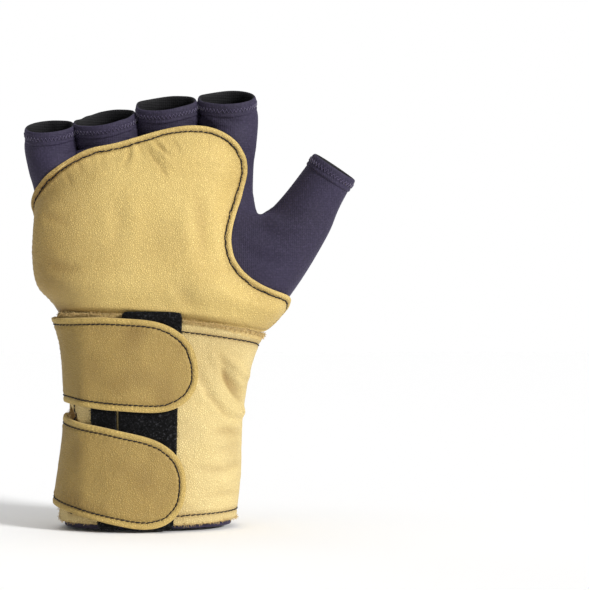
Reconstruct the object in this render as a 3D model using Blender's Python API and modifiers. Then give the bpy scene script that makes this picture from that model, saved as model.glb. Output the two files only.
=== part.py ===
"""Half-finger impact glove for the right hand, with a padded leather palm and a strapped wrist support.

The glove stands in its worn shape: fingers towards +Z, palm facing -Y, thumb towards +X.
The origin is the middle of the wrist mouth, where the hand goes in. Sizes are in metres.

Places round the hand are given as a turn: 0 is the middle of the palm, 1 the thumb side,
2 the back of the hand and -1 the little finger's side.
"""

import math
from collections import namedtuple

import bmesh
import bpy
import numpy as np
from mathutils import Vector
from mathutils.bvhtree import BVHTree

# The hand, measured over the cloth
CUFF_HEIGHT = 0.098  # wrist mouth to the heel of the hand
PALM_HEIGHT = 0.090  # heel to the crotch of the ring and middle fingers
WRIST_WIDTH = 0.084
WRIST_DEPTH = 0.054
PALM_WIDTH = 0.112
PALM_DEPTH = 0.041
STALL_LENGTH = 0.022  # crotch to rim of a finger stall
STALL_WIDTH = 0.026
STALL_DEPTH = 0.0235
THUMB_LENGTH = 0.058  # middle of the thumb's root to its rim
THUMB_WIDTH = 0.0245
THUMB_DEPTH = 0.0225
THUMB_LEAN = math.radians(33)  # from +Z towards +X
THUMB_CURL = math.radians(9)  # out of that plane, towards the palm
FINGER_CURL = math.radians(22)

WRIST_TURN = (WRIST_WIDTH + WRIST_DEPTH) * math.pi / 8  # way round the wrist for a turn of 1

# Cloth and hems
CLOTH = 0.0012
HEM_HEIGHT = 0.0055
HEM_WALL = 0.0023

# Leather palm over its pad
LEATHER = 0.0014
PAD_THICKNESS = 0.0068
PAD_FLANGE = 0.0042  # flat stitched border
PAD_RISE = 0.011  # border to full thickness

# Wrist support
CUFF_WALL = 0.0016
CUFF_HEM = 0.0016  # lining that shows below the leather
STRAP_WALL = 0.0020
UPPER_STRAP_LENGTH = 0.0748
UPPER_STRAP_WIDTH = 0.0415
LOWER_STRAP_LENGTH = 0.0737
LOWER_STRAP_WIDTH = 0.0430
TAPE_WALL = 0.0012
WIDE_TAPE_WIDTH = 0.0290
NARROW_TAPE_WIDTH = 0.0128
TAPE_SPACING = 0.0010
TAPE_START = 0.0255  # the narrow tape's outer edge, from the origin towards the little finger

# Gap between pieces that lie on each other, and its allowance for the facets
GAP = 0.0003
LIE = 0.0006
PAD_LIE = 0.0011
THUMB_LIE = 0.0010  # more on the slope at the root of the thumb
FINGER_LIE = 0.0007

# Across the hand, each ring has nine points on the palm, nine on the back and one on each side.
COLUMNS = (-0.96, -0.82, -0.58, -0.32, -0.06, 0.20, 0.47, 0.76, 0.96)
LAST = len(COLUMNS) - 1
THUMB_SIDE = LAST + 1
RING = 2 * len(COLUMNS) + 2
LITTLE_SIDE = RING - 1
ROUNDNESS = 2.4  # power of the superellipse that each section follows
THUMB_COLUMNS = range(LAST - 1, LAST + 3)  # quads that the thumb opens through

# Each row's heights are at the little finger's side and the thumb side, then the two sides,
# the palm, the back, and the swell at the root of the thumb.
Section = namedtuple(
    "Section", "name little_height thumb_height little_side thumb_side palm back thenar"
)
# Shares of CUFF_HEIGHT, then of WRIST_WIDTH and WRIST_DEPTH
WRIST_SECTIONS = (
    Section("mouth", 0.030, 0.030, -0.488, 0.500, -0.500, 0.500, 0.00),
    Section("lower", 0.275, 0.265, -0.460, 0.530, -0.495, 0.490, 0.00),
    Section("waist", 0.540, 0.510, -0.420, 0.536, -0.475, 0.465, 0.00),
    Section("upper", 0.810, 0.745, -0.428, 0.562, -0.460, 0.450, 0.00),
)
# Shares of PALM_HEIGHT above the heel, then of PALM_WIDTH and PALM_DEPTH
PALM_SECTIONS = (
    Section("heel", 0.085, -0.025, -0.360, 0.492, -0.570, 0.545, 0.04),
    Section("thumb bottom", 0.250, 0.110, -0.430, 0.588, -0.570, 0.525, 0.10),
    Section("thumb middle", 0.440, 0.370, -0.458, 0.560, -0.550, 0.515, 0.12),
    Section("web", 0.655, 0.667, -0.480, 0.482, -0.500, 0.505, 0.04),
    Section("knuckles", 0.800, 0.890, -0.505, 0.474, -0.455, 0.475, 0.00),
)
SECTIONS = WRIST_SECTIONS + PALM_SECTIONS
HEEL_ROW = len(WRIST_SECTIONS)
THUMB_BOTTOM_ROW = HEEL_ROW + 1
THUMB_TOP_ROW = HEEL_ROW + 3

# Sides of the stalls at their root: across is a share of PALM_WIDTH, rise of STALL_LENGTH.
Crotch = namedtuple("Crotch", "name across rise")
CROTCHES = (
    Crotch("little outer", -0.514, -0.56),
    Crotch("little to ring", -0.302, -0.06),
    Crotch("ring to middle", -0.030, 0.20),
    Crotch("middle to index", 0.232, 0.49),
    Crotch("index outer", 0.484, 0.16),
)
CROTCH_DEPTH = 0.19  # share of PALM_DEPTH from the middle of the hand
ROOT_DEPTH = 0.42
ROOT_TILT = 0.12  # share of STALL_LENGTH that a stall's root drops at the palm and rises at the back

# Rims of the stalls: root and rim are shares of PALM_WIDTH, rise of STALL_LENGTH,
# width and depth of STALL_WIDTH and STALL_DEPTH, and swell the girth at mid length over the
# rim's. Lean is in degrees towards the little finger.
Stall = namedtuple("Stall", "name root rim rise width depth swell lean")
STALLS = (
    Stall("little", -0.415, -0.438, 0.56, 0.87, 0.90, 1.14, 5),
    Stall("ring", -0.146, -0.187, 0.76, 0.98, 1.00, 1.08, 13),
    Stall("middle", 0.104, 0.079, 1.10, 1.00, 1.03, 1.05, 8),
    Stall("index", 0.366, 0.362, 1.24, 1.04, 1.03, 1.10, 3),
)
RIM_FORWARD = 0.17  # share of PALM_DEPTH that the rims lie in front of the root
STALL_MIDDLE = 0.45

# Root of the thumb: shares of PALM_WIDTH, PALM_DEPTH and PALM_HEIGHT above the heel
THUMB_ROOT = (0.555, -0.12, 0.385)
# Rings of the thumb: share of the way from rim to root, and girth over the rim's
THUMB_RINGS = ((0.62, 1.30), (0.36, 1.10))
THUMB_RING_SHIFT = 0.05  # share of THUMB_WIDTH that the lower ring bulges outwards

# Ridges that the wrist's bend presses into the cuff: the middle's turn and share of CUFF_HEIGHT,
# half length and half width as shares of WRIST_WIDTH, the slope in degrees, and the height as a
# share of CUFF_WALL.
Fold = namedtuple("Fold", "turn rise reach width slope height")
CUFF_FOLDS = (
    Fold(0.96, 0.80, 0.19, 0.055, -38, 0.75),
    Fold(0.94, 0.60, 0.15, 0.042, -14, 0.65),
    Fold(1.30, 0.70, 0.22, 0.060, 8, 0.60),
    Fold(1.85, 0.58, 0.30, 0.065, -5, 0.45),
    Fold(1.15, 0.34, 0.20, 0.060, 6, 0.40),
)

# Straps: the middle line's start and end are shares of CUFF_HEIGHT.
Strap = namedtuple("Strap", "name length width start end")
STRAPS = (
    Strap("strap_upper", UPPER_STRAP_LENGTH, UPPER_STRAP_WIDTH, 0.872, 0.820),
    Strap("strap_lower", LOWER_STRAP_LENGTH, LOWER_STRAP_WIDTH, 0.378, 0.215),
)
ROUND_END = 1.15  # length of the round end over half the strap's width
END_ROUNDNESS = 2.3  # power of its superellipse

# Tapes: offset from the narrow tape's outer edge, and top as a share of CUFF_HEIGHT
Tape = namedtuple("Tape", "name offset width top")
TAPES = (
    Tape("loop_tape_narrow", 0, NARROW_TAPE_WIDTH, 1.01),
    Tape("loop_tape_wide", NARROW_TAPE_WIDTH + TAPE_SPACING, WIDE_TAPE_WIDTH, 1.095),
)
TAPE_STEP = 0.10  # turn in which a strap climbs onto the tape

# Where the pieces on the hand begin and end
CUFF_FRONT_END = -0.80
CUFF_BACK_END = 3.32  # passes behind and comes under the front end
OVERLAP_END = -0.64
OVERLAP_RAMP = 0.24
STRAP_START = -1.05

# Edges of the leather palm in front view: across is a share of PALM_WIDTH, rise a share of
# PALM_HEIGHT above the heel.
Edge = namedtuple("Edge", "across rise")
PAD_TOP = (
    Edge(-0.478, 0.775),
    Edge(-0.432, 0.851),
    Edge(-0.376, 0.906),
    Edge(-0.315, 0.958),
    Edge(-0.255, 1.001),
    Edge(-0.138, 1.026),
    Edge(-0.028, 1.069),
    Edge(0.102, 1.117),
    Edge(0.210, 1.133),
    Edge(0.303, 1.111),
    Edge(0.376, 1.052),
    Edge(0.418, 0.965),
)
PAD_THUMB_SEAM = (Edge(0.503, 0.020), Edge(0.571, 0.088))
PAD_THUMB_EDGE = (
    Edge(0.571, 0.088),
    Edge(0.613, 0.195),
    Edge(0.515, 0.244),
    Edge(0.440, 0.302),
    Edge(0.387, 0.366),
    Edge(0.362, 0.448),
    Edge(0.364, 0.546),
    Edge(0.386, 0.653),
    Edge(0.410, 0.775),
    Edge(0.427, 0.882),
    Edge(0.418, 0.965),
)
# The edge on the little finger's side goes round to the back: a turn for each rise.
Wrap = namedtuple("Wrap", "turn rise")
PAD_LITTLE_EDGE = (
    Wrap(-1.10, 0.100),
    Wrap(-1.12, 0.260),
    Wrap(-1.08, 0.450),
    Wrap(-0.99, 0.600),
    Wrap(-0.90, 0.720),
)
HEEL_ARCH = 0.035  # share of CUFF_HEIGHT that the cuff's top edge rises at the palm
SEAM_GAP = 0.0009  # cuff's top edge to the leather palm
HEEL_RISE = 0.0011

# Grids: shares of the way across a piece
PAD_COLUMNS = 20
PAD_ROWS = 17
PAD_CROWDING = 0.07  # draws the grid towards the edges, where the pad rises
HEEL_POINTS = 12
CUFF_COLUMNS = 52
CUFF_ROWS = 8
STRAP_COLUMNS = 20
END_COLUMNS = 6  # of them, in the round end
STRAP_ROWS = 6
TAPE_ROWS = 12
TAPE_COLUMN = 0.0033  # width of a column of quads
HEM_SEGMENTS = 24

CREAM_LEATHER = ("cream_leather", (0.760, 0.592, 0.270), 0.62)
NAVY_CLOTH = ("navy_cloth", (0.062, 0.052, 0.098), 0.90)
BLACK_PILE = ("black_pile", (0.012, 0.012, 0.014), 1.0)

REACH = 0.030  # starts rays outside the glove
ELLIPSE_SHARE = 1.5  # how much the way out follows the plain ellipse rather than the cloth


def smooth(low, high, value):
    share = min(1.0, max(0.0, (value - low) / (high - low)))
    return share * share * (3 - 2 * share)


def clear_scene():
    for obj in list(bpy.data.objects):
        bpy.data.objects.remove(obj)


def glove_collection():
    found = bpy.data.collections.new("impact_glove")
    bpy.context.scene.collection.children.link(found)
    return found


def material(finish):
    name, colour, roughness = finish
    made = bpy.data.materials.get(name) or bpy.data.materials.new(name)
    made.use_nodes = True
    shader = made.node_tree.nodes["Principled BSDF"]
    shader.inputs["Base Color"].default_value = (*colour, 1)
    shader.inputs["Roughness"].default_value = roughness
    return made


def add_piece(name, mesh, finish):
    """Links a bmesh as a named object with its finish, shaded smooth."""
    data = bpy.data.meshes.new(name)
    mesh.to_mesh(data)
    mesh.free()
    data.shade_smooth()
    data.materials.append(material(finish))
    piece = bpy.data.objects.new(name, data)
    GLOVE.objects.link(piece)
    return piece


def section_sizes(row):
    """A section's sides, depths and heights in metres."""
    s = SECTIONS[row]
    in_wrist = row < HEEL_ROW
    width = WRIST_WIDTH if in_wrist else PALM_WIDTH
    depth = WRIST_DEPTH if in_wrist else PALM_DEPTH
    base, height = (0, CUFF_HEIGHT) if in_wrist else (CUFF_HEIGHT, PALM_HEIGHT)
    return Section(
        s.name,
        base + s.little_height * height,
        base + s.thumb_height * height,
        s.little_side * width,
        s.thumb_side * width,
        s.palm * depth,
        s.back * depth,
        s.thenar * depth,
    )


def section_ring(row):
    """The points of a section, from the palm by the thumb side to the back."""
    s = section_sizes(row)
    middle, half = (s.little_side + s.thumb_side) / 2, (s.thumb_side - s.little_side) / 2

    def height(share):
        return s.little_height + (s.thumb_height - s.little_height) * (share + 1) / 2

    def depth(share):
        return (1 - abs(share) ** ROUNDNESS) ** (1 / ROUNDNESS)

    palm = [
        (middle + half * c, s.palm * depth(c) - s.thenar * smooth(0, 0.8, c), height(c))
        for c in COLUMNS
    ]
    back = [(middle + half * c, s.back * depth(c), height(c)) for c in reversed(COLUMNS)]
    thumb = (s.thumb_side, 0, height(1))
    little = (s.little_side, 0, height(-1))
    return [*palm, thumb, *back, little]


def crotch_place(number):
    c = CROTCHES[number]
    return c.across * PALM_WIDTH, CUFF_HEIGHT + PALM_HEIGHT + c.rise * STALL_LENGTH


def root_ring():
    """The top ring of the palm, which the four stalls share."""
    palm, back = [], []
    for j in range(len(COLUMNS)):
        if j % 2 == 0:
            x, z = crotch_place(j // 2)
            y, tilt = CROTCH_DEPTH * PALM_DEPTH, 0
        else:
            sides = crotch_place(j // 2), crotch_place(j // 2 + 1)
            x = STALLS[j // 2].root * PALM_WIDTH
            z = (sides[0][1] + sides[1][1]) / 2
            y, tilt = ROOT_DEPTH * PALM_DEPTH, ROOT_TILT * STALL_LENGTH
        palm.append((x, -y, z - tilt))
        back.append((x, y, z + tilt))
    little, thumb = crotch_place(0), crotch_place(len(STALLS))
    return [*palm, (thumb[0], 0, thumb[1]), *reversed(back), (little[0], 0, little[1])]


class Tube:
    """A finger stall or thumb: a rim's centre, its axes and its half sizes."""

    def __init__(self, name, rim, out, side, half_width, half_depth, length, swell=1.0):
        self.name, self.rim, self.out, self.length = name, rim, out.normalized(), length
        self.swell = swell
        self.side = (side - side.dot(self.out) * self.out).normalized()
        self.up = self.out.cross(self.side)
        self.half_side, self.half_up = half_width, half_depth

    def point(self, angle, below, girth=0.0, scale=1.0, shift=0.0):
        """A point round the tube, some way below its rim, girth outside its cloth."""
        side = (self.half_side * scale + girth) * math.cos(angle)
        up = (self.half_up * scale + girth) * math.sin(angle) - shift
        return self.rim - self.out * below + self.side * side + self.up * up


def stall_tube(stall):
    lean = math.radians(stall.lean)
    out = Vector(
        (
            -math.sin(lean) * math.cos(FINGER_CURL),
            -math.sin(FINGER_CURL),
            math.cos(lean) * math.cos(FINGER_CURL),
        )
    )
    top = CUFF_HEIGHT + PALM_HEIGHT + stall.rise * STALL_LENGTH
    rim = Vector((stall.rim * PALM_WIDTH, -RIM_FORWARD * PALM_DEPTH, top))
    number = STALLS.index(stall)
    root = (crotch_place(number)[1] + crotch_place(number + 1)[1]) / 2
    return Tube(
        stall.name,
        rim,
        out,
        Vector((1, 0, 0)),
        stall.width * STALL_WIDTH / 2,
        stall.depth * STALL_DEPTH / 2,
        top - root,
        stall.swell,
    )


def thumb_tube():
    out = Vector(
        (
            math.sin(THUMB_LEAN) * math.cos(THUMB_CURL),
            -math.sin(THUMB_CURL),
            math.cos(THUMB_LEAN) * math.cos(THUMB_CURL),
        )
    )
    root = Vector(
        (
            THUMB_ROOT[0] * PALM_WIDTH,
            THUMB_ROOT[1] * PALM_DEPTH,
            CUFF_HEIGHT + THUMB_ROOT[2] * PALM_HEIGHT,
        )
    )
    return Tube(
        "thumb",
        root + out * THUMB_LENGTH,
        out,
        Vector((0, 1, 0)),
        THUMB_DEPTH / 2,
        THUMB_WIDTH / 2,
        THUMB_LENGTH,
    )


def bridge(mesh, lower, upper, kind=0):
    """Quads between two closed rings of vertices, facing outwards."""
    for k in range(len(lower)):
        n = (k + 1) % len(lower)
        face = mesh.faces.new((lower[k], lower[n], upper[n], upper[k]))
        face.material_index = kind


def stall_rings(mesh, tube, root):
    """Carries a stall from its root ring of eight points to the hem."""
    end = HEM_HEIGHT + GAP
    middle = end + (tube.length - end) * STALL_MIDDLE
    first = math.radians(225)
    step = math.tau / len(root)
    for below, scale in ((middle, tube.swell), (end, 1.0)):
        ring = [
            mesh.verts.new(tube.point(first + k * step, below, scale=scale))
            for k in range(len(root))
        ]
        bridge(mesh, root, ring)
        root = ring


def thumb_rings(mesh, tube, root):
    """Carries the thumb from the hole in the palm, a ring of twelve points, to the hem."""
    step = math.tau / len(root)
    first = math.radians(210)
    for share, scale in (*THUMB_RINGS, (0, 1.0)):
        below = share * tube.length if share else HEM_HEIGHT + GAP
        shift = THUMB_RING_SHIFT * THUMB_WIDTH * share
        ring = [
            mesh.verts.new(tube.point(first + k * step, below, scale=scale, shift=shift))
            for k in range(len(root))
        ]
        bridge(mesh, root, ring, kind=1)
        root = ring


def hand_cage():
    """The coarse cage of the cloth hand, open at the wrist, the thumb and the four fingers."""
    mesh = bmesh.new()
    rows = [section_ring(row) for row in range(len(SECTIONS))] + [root_ring()]
    rings = [[mesh.verts.new(p) for p in row] for row in rows]
    for row in range(len(rings) - 1):
        in_thumb = THUMB_BOTTOM_ROW <= row < THUMB_TOP_ROW
        for k in range(RING):
            if in_thumb and k in THUMB_COLUMNS:
                continue
            n = (k + 1) % RING
            mesh.faces.new((rings[row][k], rings[row][n], rings[row + 1][n], rings[row + 1][k]))
    # Stalls: each shares the line of its crotch with its neighbour
    top = rings[-1]
    crotch = [top[LITTLE_SIDE]]
    for number in range(1, len(STALLS)):
        x, z = crotch_place(number)
        crotch.append(mesh.verts.new((x, 0, z)))
    crotch.append(top[THUMB_SIDE])
    for i, stall in enumerate(STALLS):
        palm = top[2 * i : 2 * i + 3]
        back = [top[2 * THUMB_SIDE - j] for j in (2 * i + 2, 2 * i + 1, 2 * i)]
        stall_rings(mesh, stall_tube(stall), [*palm, crotch[i + 1], *back, crotch[i]])
    # Thumb: round the hole left in the side of the palm
    low, high = rings[THUMB_BOTTOM_ROW], rings[THUMB_TOP_ROW]
    first, last = THUMB_COLUMNS[0], THUMB_COLUMNS[-1] + 1
    middle = rings[THUMB_BOTTOM_ROW + 1]
    hole = [*low[first : last + 1], middle[last], *reversed(high[first : last + 1]), middle[first]]
    thumb_rings(mesh, thumb_tube(), hole)
    for vert in [v for v in mesh.verts if not v.link_faces]:
        mesh.verts.remove(vert)
    return mesh


def evaluated_mesh(obj):
    return obj.evaluated_get(bpy.context.evaluated_depsgraph_get()).to_mesh()


def fit_to_cage(obj, rounds=14):
    """Moves the cage out until the smooth surface passes through the points it was given."""
    wanted = [v.co.copy() for v in obj.data.vertices]
    for _ in range(rounds):
        smooth_mesh = evaluated_mesh(obj)
        off = [p - smooth_mesh.vertices[i].co for i, p in enumerate(wanted)]
        obj.to_mesh_clear()
        for vertex, move in zip(obj.data.vertices, off):
            vertex.co += move
        obj.data.update()


def make_hand_shell():
    """The sewn cloth hand: one stretch-cloth tube from the lining's edge to the hems."""
    shell = add_piece("hand_shell", hand_cage(), NAVY_CLOTH)
    shell.data.materials.append(material(NAVY_CLOTH))
    rounded = shell.modifiers.new("rounded", "SUBSURF")
    rounded.levels = rounded.render_levels = 1
    fit_to_cage(shell)
    return shell


def thicken_shell(shell):
    wall = shell.modifiers.new("cloth", "SOLIDIFY")
    wall.thickness = CLOTH
    wall.offset = -1
    wall.use_even_offset = True


class Skin:
    """The outside of the cloth hand as a table: a point for each height and turn round the hand."""

    STEP_TURN = 0.04
    STEP_HEIGHT = 0.0025
    TAUT_ROUNDS = 60

    def __init__(self, shell):
        mesh = evaluated_mesh(shell)
        points = [v.co.copy() for v in mesh.vertices]
        faces = [tuple(p.vertices) for p in mesh.polygons]
        palm_faces = [tuple(p.vertices) for p in mesh.polygons if p.material_index == 0]
        self.whole = BVHTree.FromPolygons(points, faces)
        self.palm = BVHTree.FromPolygons(points, palm_faces)
        sizes = [section_sizes(row) for row in range(len(SECTIONS))]
        self.levels = [(s.little_height + s.thumb_height) / 2 for s in sizes]
        self.middles = [(s.little_side + s.thumb_side) / 2 for s in sizes]
        self.halves = [(s.thumb_side - s.little_side) / 2 for s in sizes]
        self.depths = [(s.back - s.palm) / 2 for s in sizes]
        self.web = sizes[THUMB_TOP_ROW].thumb_height
        self.low = max(s.little_height for s in sizes[:1]) + self.STEP_HEIGHT
        top = CUFF_HEIGHT + PALM_HEIGHT + STALL_LENGTH * STALLS[0].rise
        self.heights = np.arange(self.low, top, self.STEP_HEIGHT)
        self.turns = np.arange(-2, 2 + self.STEP_TURN / 2, self.STEP_TURN)
        pairs = [[self.ellipse(t, z) for t in self.turns] for z in self.heights]
        self.base = np.array([[place for place, way in row] for row in pairs])
        self.way = np.array([[way for place, way in row] for row in pairs])
        self.table = np.array([[self.hit(t, z) for t in self.turns] for z in self.heights])
        self.bridge_crotches()
        self.out = self.outward()

    def ellipse(self, turn, height):
        """A place on a plain ellipse near the section, and the way out of it."""
        middle = np.interp(height, self.levels, self.middles)
        half = np.interp(height, self.levels, self.halves)
        depth = np.interp(height, self.levels, self.depths)
        side, front = math.sin(turn * math.pi / 2), -math.cos(turn * math.pi / 2)
        place = Vector((middle + side * half, front * depth, height))
        return place, Vector((side * depth, front * half, 0)).normalized()

    def hit(self, turn, height):
        """The outermost point of the hand that way round, at that height."""
        place, way = self.ellipse(turn, height)
        tree = self.whole if height < self.web else self.palm
        found = tree.ray_cast(place + way * REACH, -way, 2 * REACH)[0]
        return np.array(found if found is not None else place - way * REACH)

    def bridge_crotches(self):
        """Leather over the roots of the fingers is taut: it crosses the valleys between them."""
        base, way = self.base, self.way
        reach = ((self.table - base) * way).sum(axis=2)
        above = self.heights > self.web
        for _ in range(self.TAUT_ROUNDS):
            across = (np.roll(reach, 1, axis=1) + np.roll(reach, -1, axis=1)) / 2
            reach[above] = np.maximum(reach, across)[above]
        self.table = base + way * reach[:, :, None]

    def outward(self):
        """The level direction away from the hand at each point of the table."""
        along = np.roll(self.table, -1, axis=1) - np.roll(self.table, 1, axis=1)
        along[:, 0] = along[:, -1] = self.table[:, 1] - self.table[:, -2]
        out = np.stack([along[:, :, 1], -along[:, :, 0], np.zeros(along.shape[:2])], axis=2)
        out /= np.maximum(np.linalg.norm(out, axis=2), 1e-9)[:, :, None]
        out += self.way * ELLIPSE_SHARE
        for _ in range(4):
            out[1:-1] = (out[2:] + 2 * out[1:-1] + out[:-2]) / 4
            out[:, 1:-1] = (out[:, 2:] + 2 * out[:, 1:-1] + out[:, :-2]) / 4
        return out / np.linalg.norm(out, axis=2)[:, :, None]

    def look_up(self, table, turn, height):
        wrapped = (turn + 2) % 4
        row = np.clip((height - self.heights[0]) / self.STEP_HEIGHT, 0, len(self.heights) - 1.001)
        column = min(wrapped / self.STEP_TURN, len(self.turns) - 1.001)
        i, j = int(row), int(column)
        a, b = row - i, column - j
        low = table[i, j] * (1 - b) + table[i, j + 1] * b
        high = table[i + 1, j] * (1 - b) + table[i + 1, j + 1] * b
        return low * (1 - a) + high * a

    def at(self, turn, height, lift):
        """A point lift outside the cloth. Above and below the table the hand goes on straight."""
        place = self.look_up(self.table, turn, height) + self.look_up(self.out, turn, height) * lift
        return Vector((place[0], place[1], height))

    def turn_at(self, across, height):
        """The turn whose point on the palm lies at x = across."""
        turns = np.arange(-0.98, 0.9801, 0.02)
        places = [self.look_up(self.table, t, height)[0] for t in turns]
        places = np.maximum.accumulate(places)
        return float(np.interp(across, places, turns))

    def turn_after(self, start, height, distance):
        """The turn reached by going that distance round the hand from start, level."""
        turns = np.arange(start, start + 2, 0.01)
        places = np.array([self.look_up(self.table, t, height) for t in turns])
        walked = np.concatenate([[0], np.cumsum(np.linalg.norm(np.diff(places[:, :2], axis=0), axis=1))])
        return float(np.interp(distance, walked, turns))


def grid_mesh(rows):
    """An open sheet through rows of points, with points that coincide made one."""
    mesh = bmesh.new()
    verts = [[mesh.verts.new(p) for p in row] for row in rows]
    for low, high in zip(verts, verts[1:]):
        for k in range(len(low) - 1):
            mesh.faces.new((low[k], low[k + 1], high[k + 1], high[k]))
    bmesh.ops.remove_doubles(mesh, verts=mesh.verts, dist=1e-6)
    return mesh


def add_sheet(name, rows, wall, finish):
    """A sheet with its inner face through the rows and its wall outside them."""
    piece = add_piece(name, grid_mesh(rows), finish)
    solid = piece.modifiers.new("wall", "SOLIDIFY")
    solid.thickness = wall
    solid.offset = 1
    solid.use_even_offset = True
    return piece


# Leather palm


def length_shares(points):
    """How far along its line each point is, from 0 to 1."""
    walked = np.concatenate([[0], np.cumsum(np.linalg.norm(np.diff(points, axis=0), axis=1))])
    return walked / walked[-1]


def curve_through(points, share):
    """A point of the smooth curve through the points, at a share of its length."""
    points = np.array(points, float)
    shares = length_shares(points)
    slopes = np.gradient(points, shares, axis=0)
    i = min(int(np.searchsorted(shares, share, side="right")) - 1, len(points) - 2)
    span = shares[i + 1] - shares[i]
    t = (share - shares[i]) / span
    start, end = points[i], points[i + 1]
    return (
        (2 * t**3 - 3 * t**2 + 1) * start
        + (t**3 - 2 * t**2 + t) * span * slopes[i]
        + (-2 * t**3 + 3 * t**2) * end
        + (t**3 - t**2) * span * slopes[i + 1]
    )


class PadOutline:
    """The leather palm laid flat: distance round the hand from the middle of the palm, and height."""

    def __init__(self, skin):
        self.skin = skin
        top, thumb, seam = (
            [self.flat(e) for e in edges] for edges in (PAD_TOP, PAD_THUMB_EDGE, PAD_THUMB_SEAM)
        )
        little = [(w.turn, self.level(w.rise)) for w in PAD_LITTLE_EDGE] + top[:1]
        turns = np.linspace(little[0][0], seam[0][0], HEEL_POINTS)
        heel = [(turn, heel_height(turn) + SEAM_GAP) for turn in turns]
        little[0] = heel[0]
        self.left, self.top, self.right, self.bottom = (
            self.spread(side) for side in (little, top, thumb, heel + seam[1:])
        )

    @staticmethod
    def level(rise):
        return CUFF_HEIGHT + rise * PALM_HEIGHT

    def flat(self, edge):
        height = self.level(edge.rise)
        return self.skin.turn_at(edge.across * PALM_WIDTH, height), height

    @staticmethod
    def spread(side):
        """Turns and heights as lengths, so that shares of an edge are even."""
        return np.array([(turn * PALM_WIDTH / 2, height) for turn, height in side])

    def place(self, across, up):
        """A point inside the four edges, by shares of the way across and up."""
        left, right = curve_through(self.left, up), curve_through(self.right, up)
        top, bottom = curve_through(self.top, across), curve_through(self.bottom, across)
        corners = (
            (1 - across) * (1 - up) * self.left[0]
            + across * (1 - up) * self.right[0]
            + (1 - across) * up * self.left[-1]
            + across * up * self.right[-1]
        )
        return (1 - across) * left + across * right + (1 - up) * bottom + up * top - corners

    def border(self, count=40):
        shares = np.linspace(0, 1, count)
        sides = (
            [curve_through(self.bottom, s) for s in shares],
            [curve_through(self.right, s) for s in shares],
            [curve_through(self.top, s) for s in shares[::-1]],
            [curve_through(self.left, s) for s in shares[::-1]],
        )
        return np.concatenate([np.array(side) for side in sides])


def distance_to(place, border):
    """Distance from a flat point to the nearest stretch of the border."""
    start, end = border[:-1], border[1:]
    along = end - start
    size = np.maximum((along**2).sum(1), 1e-12)
    share = np.clip(((place - start) * along).sum(1) / size, 0, 1)
    return float(np.linalg.norm(start + along * share[:, None] - place, axis=1).min())


def pad_thickness(inside):
    """Flat and thin under the border's stitching, then swelling over the pad."""
    return LEATHER + (PAD_THICKNESS - LEATHER) * smooth(PAD_FLANGE * 0.7, PAD_FLANGE + PAD_RISE, inside)


def pad_lie(turn, height):
    """The leather lies off the cloth more where that is rounder: by the thumb and the fingers."""
    thumb = smooth(0.5, 0.85, turn)
    fingers = smooth(CUFF_HEIGHT + PALM_HEIGHT * 0.8, CUFF_HEIGHT + PALM_HEIGHT, height)
    return PAD_LIE + THUMB_LIE * thumb + FINGER_LIE * fingers


def crowded(count):
    """Shares from 0 to 1, closer together at both ends."""
    return [k / count - PAD_CROWDING * math.sin(math.tau * k / count) for k in range(count + 1)]


def make_palm_pad(skin):
    """Grain leather over an impact pad, stitched to the palm all round."""
    outline = PadOutline(skin)
    border = outline.border()
    inner, outer = [], []
    for up in crowded(PAD_ROWS):
        flat = [outline.place(across, up) for across in crowded(PAD_COLUMNS)]
        depth = [distance_to(p, border) for p in flat]
        turns = [(p[0] / (PALM_WIDTH / 2), p[1]) for p in flat]
        lifts = [pad_lie(*place) for place in turns]
        inner.append([skin.at(*place, lift) for place, lift in zip(turns, lifts)])
        lifts = [lift + pad_thickness(d) for lift, d in zip(lifts, depth)]
        outer.append([skin.at(*place, lift) for place, lift in zip(turns, lifts)])
    mesh = bmesh.new()
    layers = [[[mesh.verts.new(p) for p in row] for row in layer] for layer in (inner, outer)]
    rows, columns = PAD_ROWS + 1, PAD_COLUMNS + 1
    for i in range(rows - 1):
        for j in range(columns - 1):
            corners = ((i, j), (i, j + 1), (i + 1, j + 1), (i + 1, j))
            mesh.faces.new([layers[1][a][b] for a, b in corners])
            mesh.faces.new([layers[0][a][b] for a, b in reversed(corners)])
    around = [(0, j) for j in range(columns)] + [(i, columns - 1) for i in range(1, rows)]
    around += [(rows - 1, j) for j in range(columns - 2, -1, -1)] + [(i, 0) for i in range(rows - 2, 0, -1)]
    for (a, b), (c, d) in zip(around, around[1:] + around[:1]):
        mesh.faces.new((layers[0][a][b], layers[0][c][d], layers[1][c][d], layers[1][a][b]))
    return add_piece("palm_pad", mesh, CREAM_LEATHER)


# Wrist support


def cuff_lift(turn):
    """The front end rides over the back end, which comes round under it."""
    over = 1 - smooth(OVERLAP_END, OVERLAP_END + OVERLAP_RAMP, turn)
    return LIE + (CUFF_WALL + LIE) * over


def heel_height(turn):
    """Height of the cuff's top edge, which slopes down to the thumb side."""
    s = section_sizes(HEEL_ROW)
    share = (1 + math.sin(turn * math.pi / 2)) / 2
    arch = HEEL_ARCH * CUFF_HEIGHT * max(0, math.cos(turn * math.pi / 2))
    return s.little_height + (s.thumb_height - s.little_height) * share + arch


def mouth_height(turn):
    """The cuff's lower edge is highest at the two sides."""
    return section_sizes(0).little_height + CUFF_HEM * (1 + math.sin(turn * math.pi / 2) ** 2)


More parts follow.
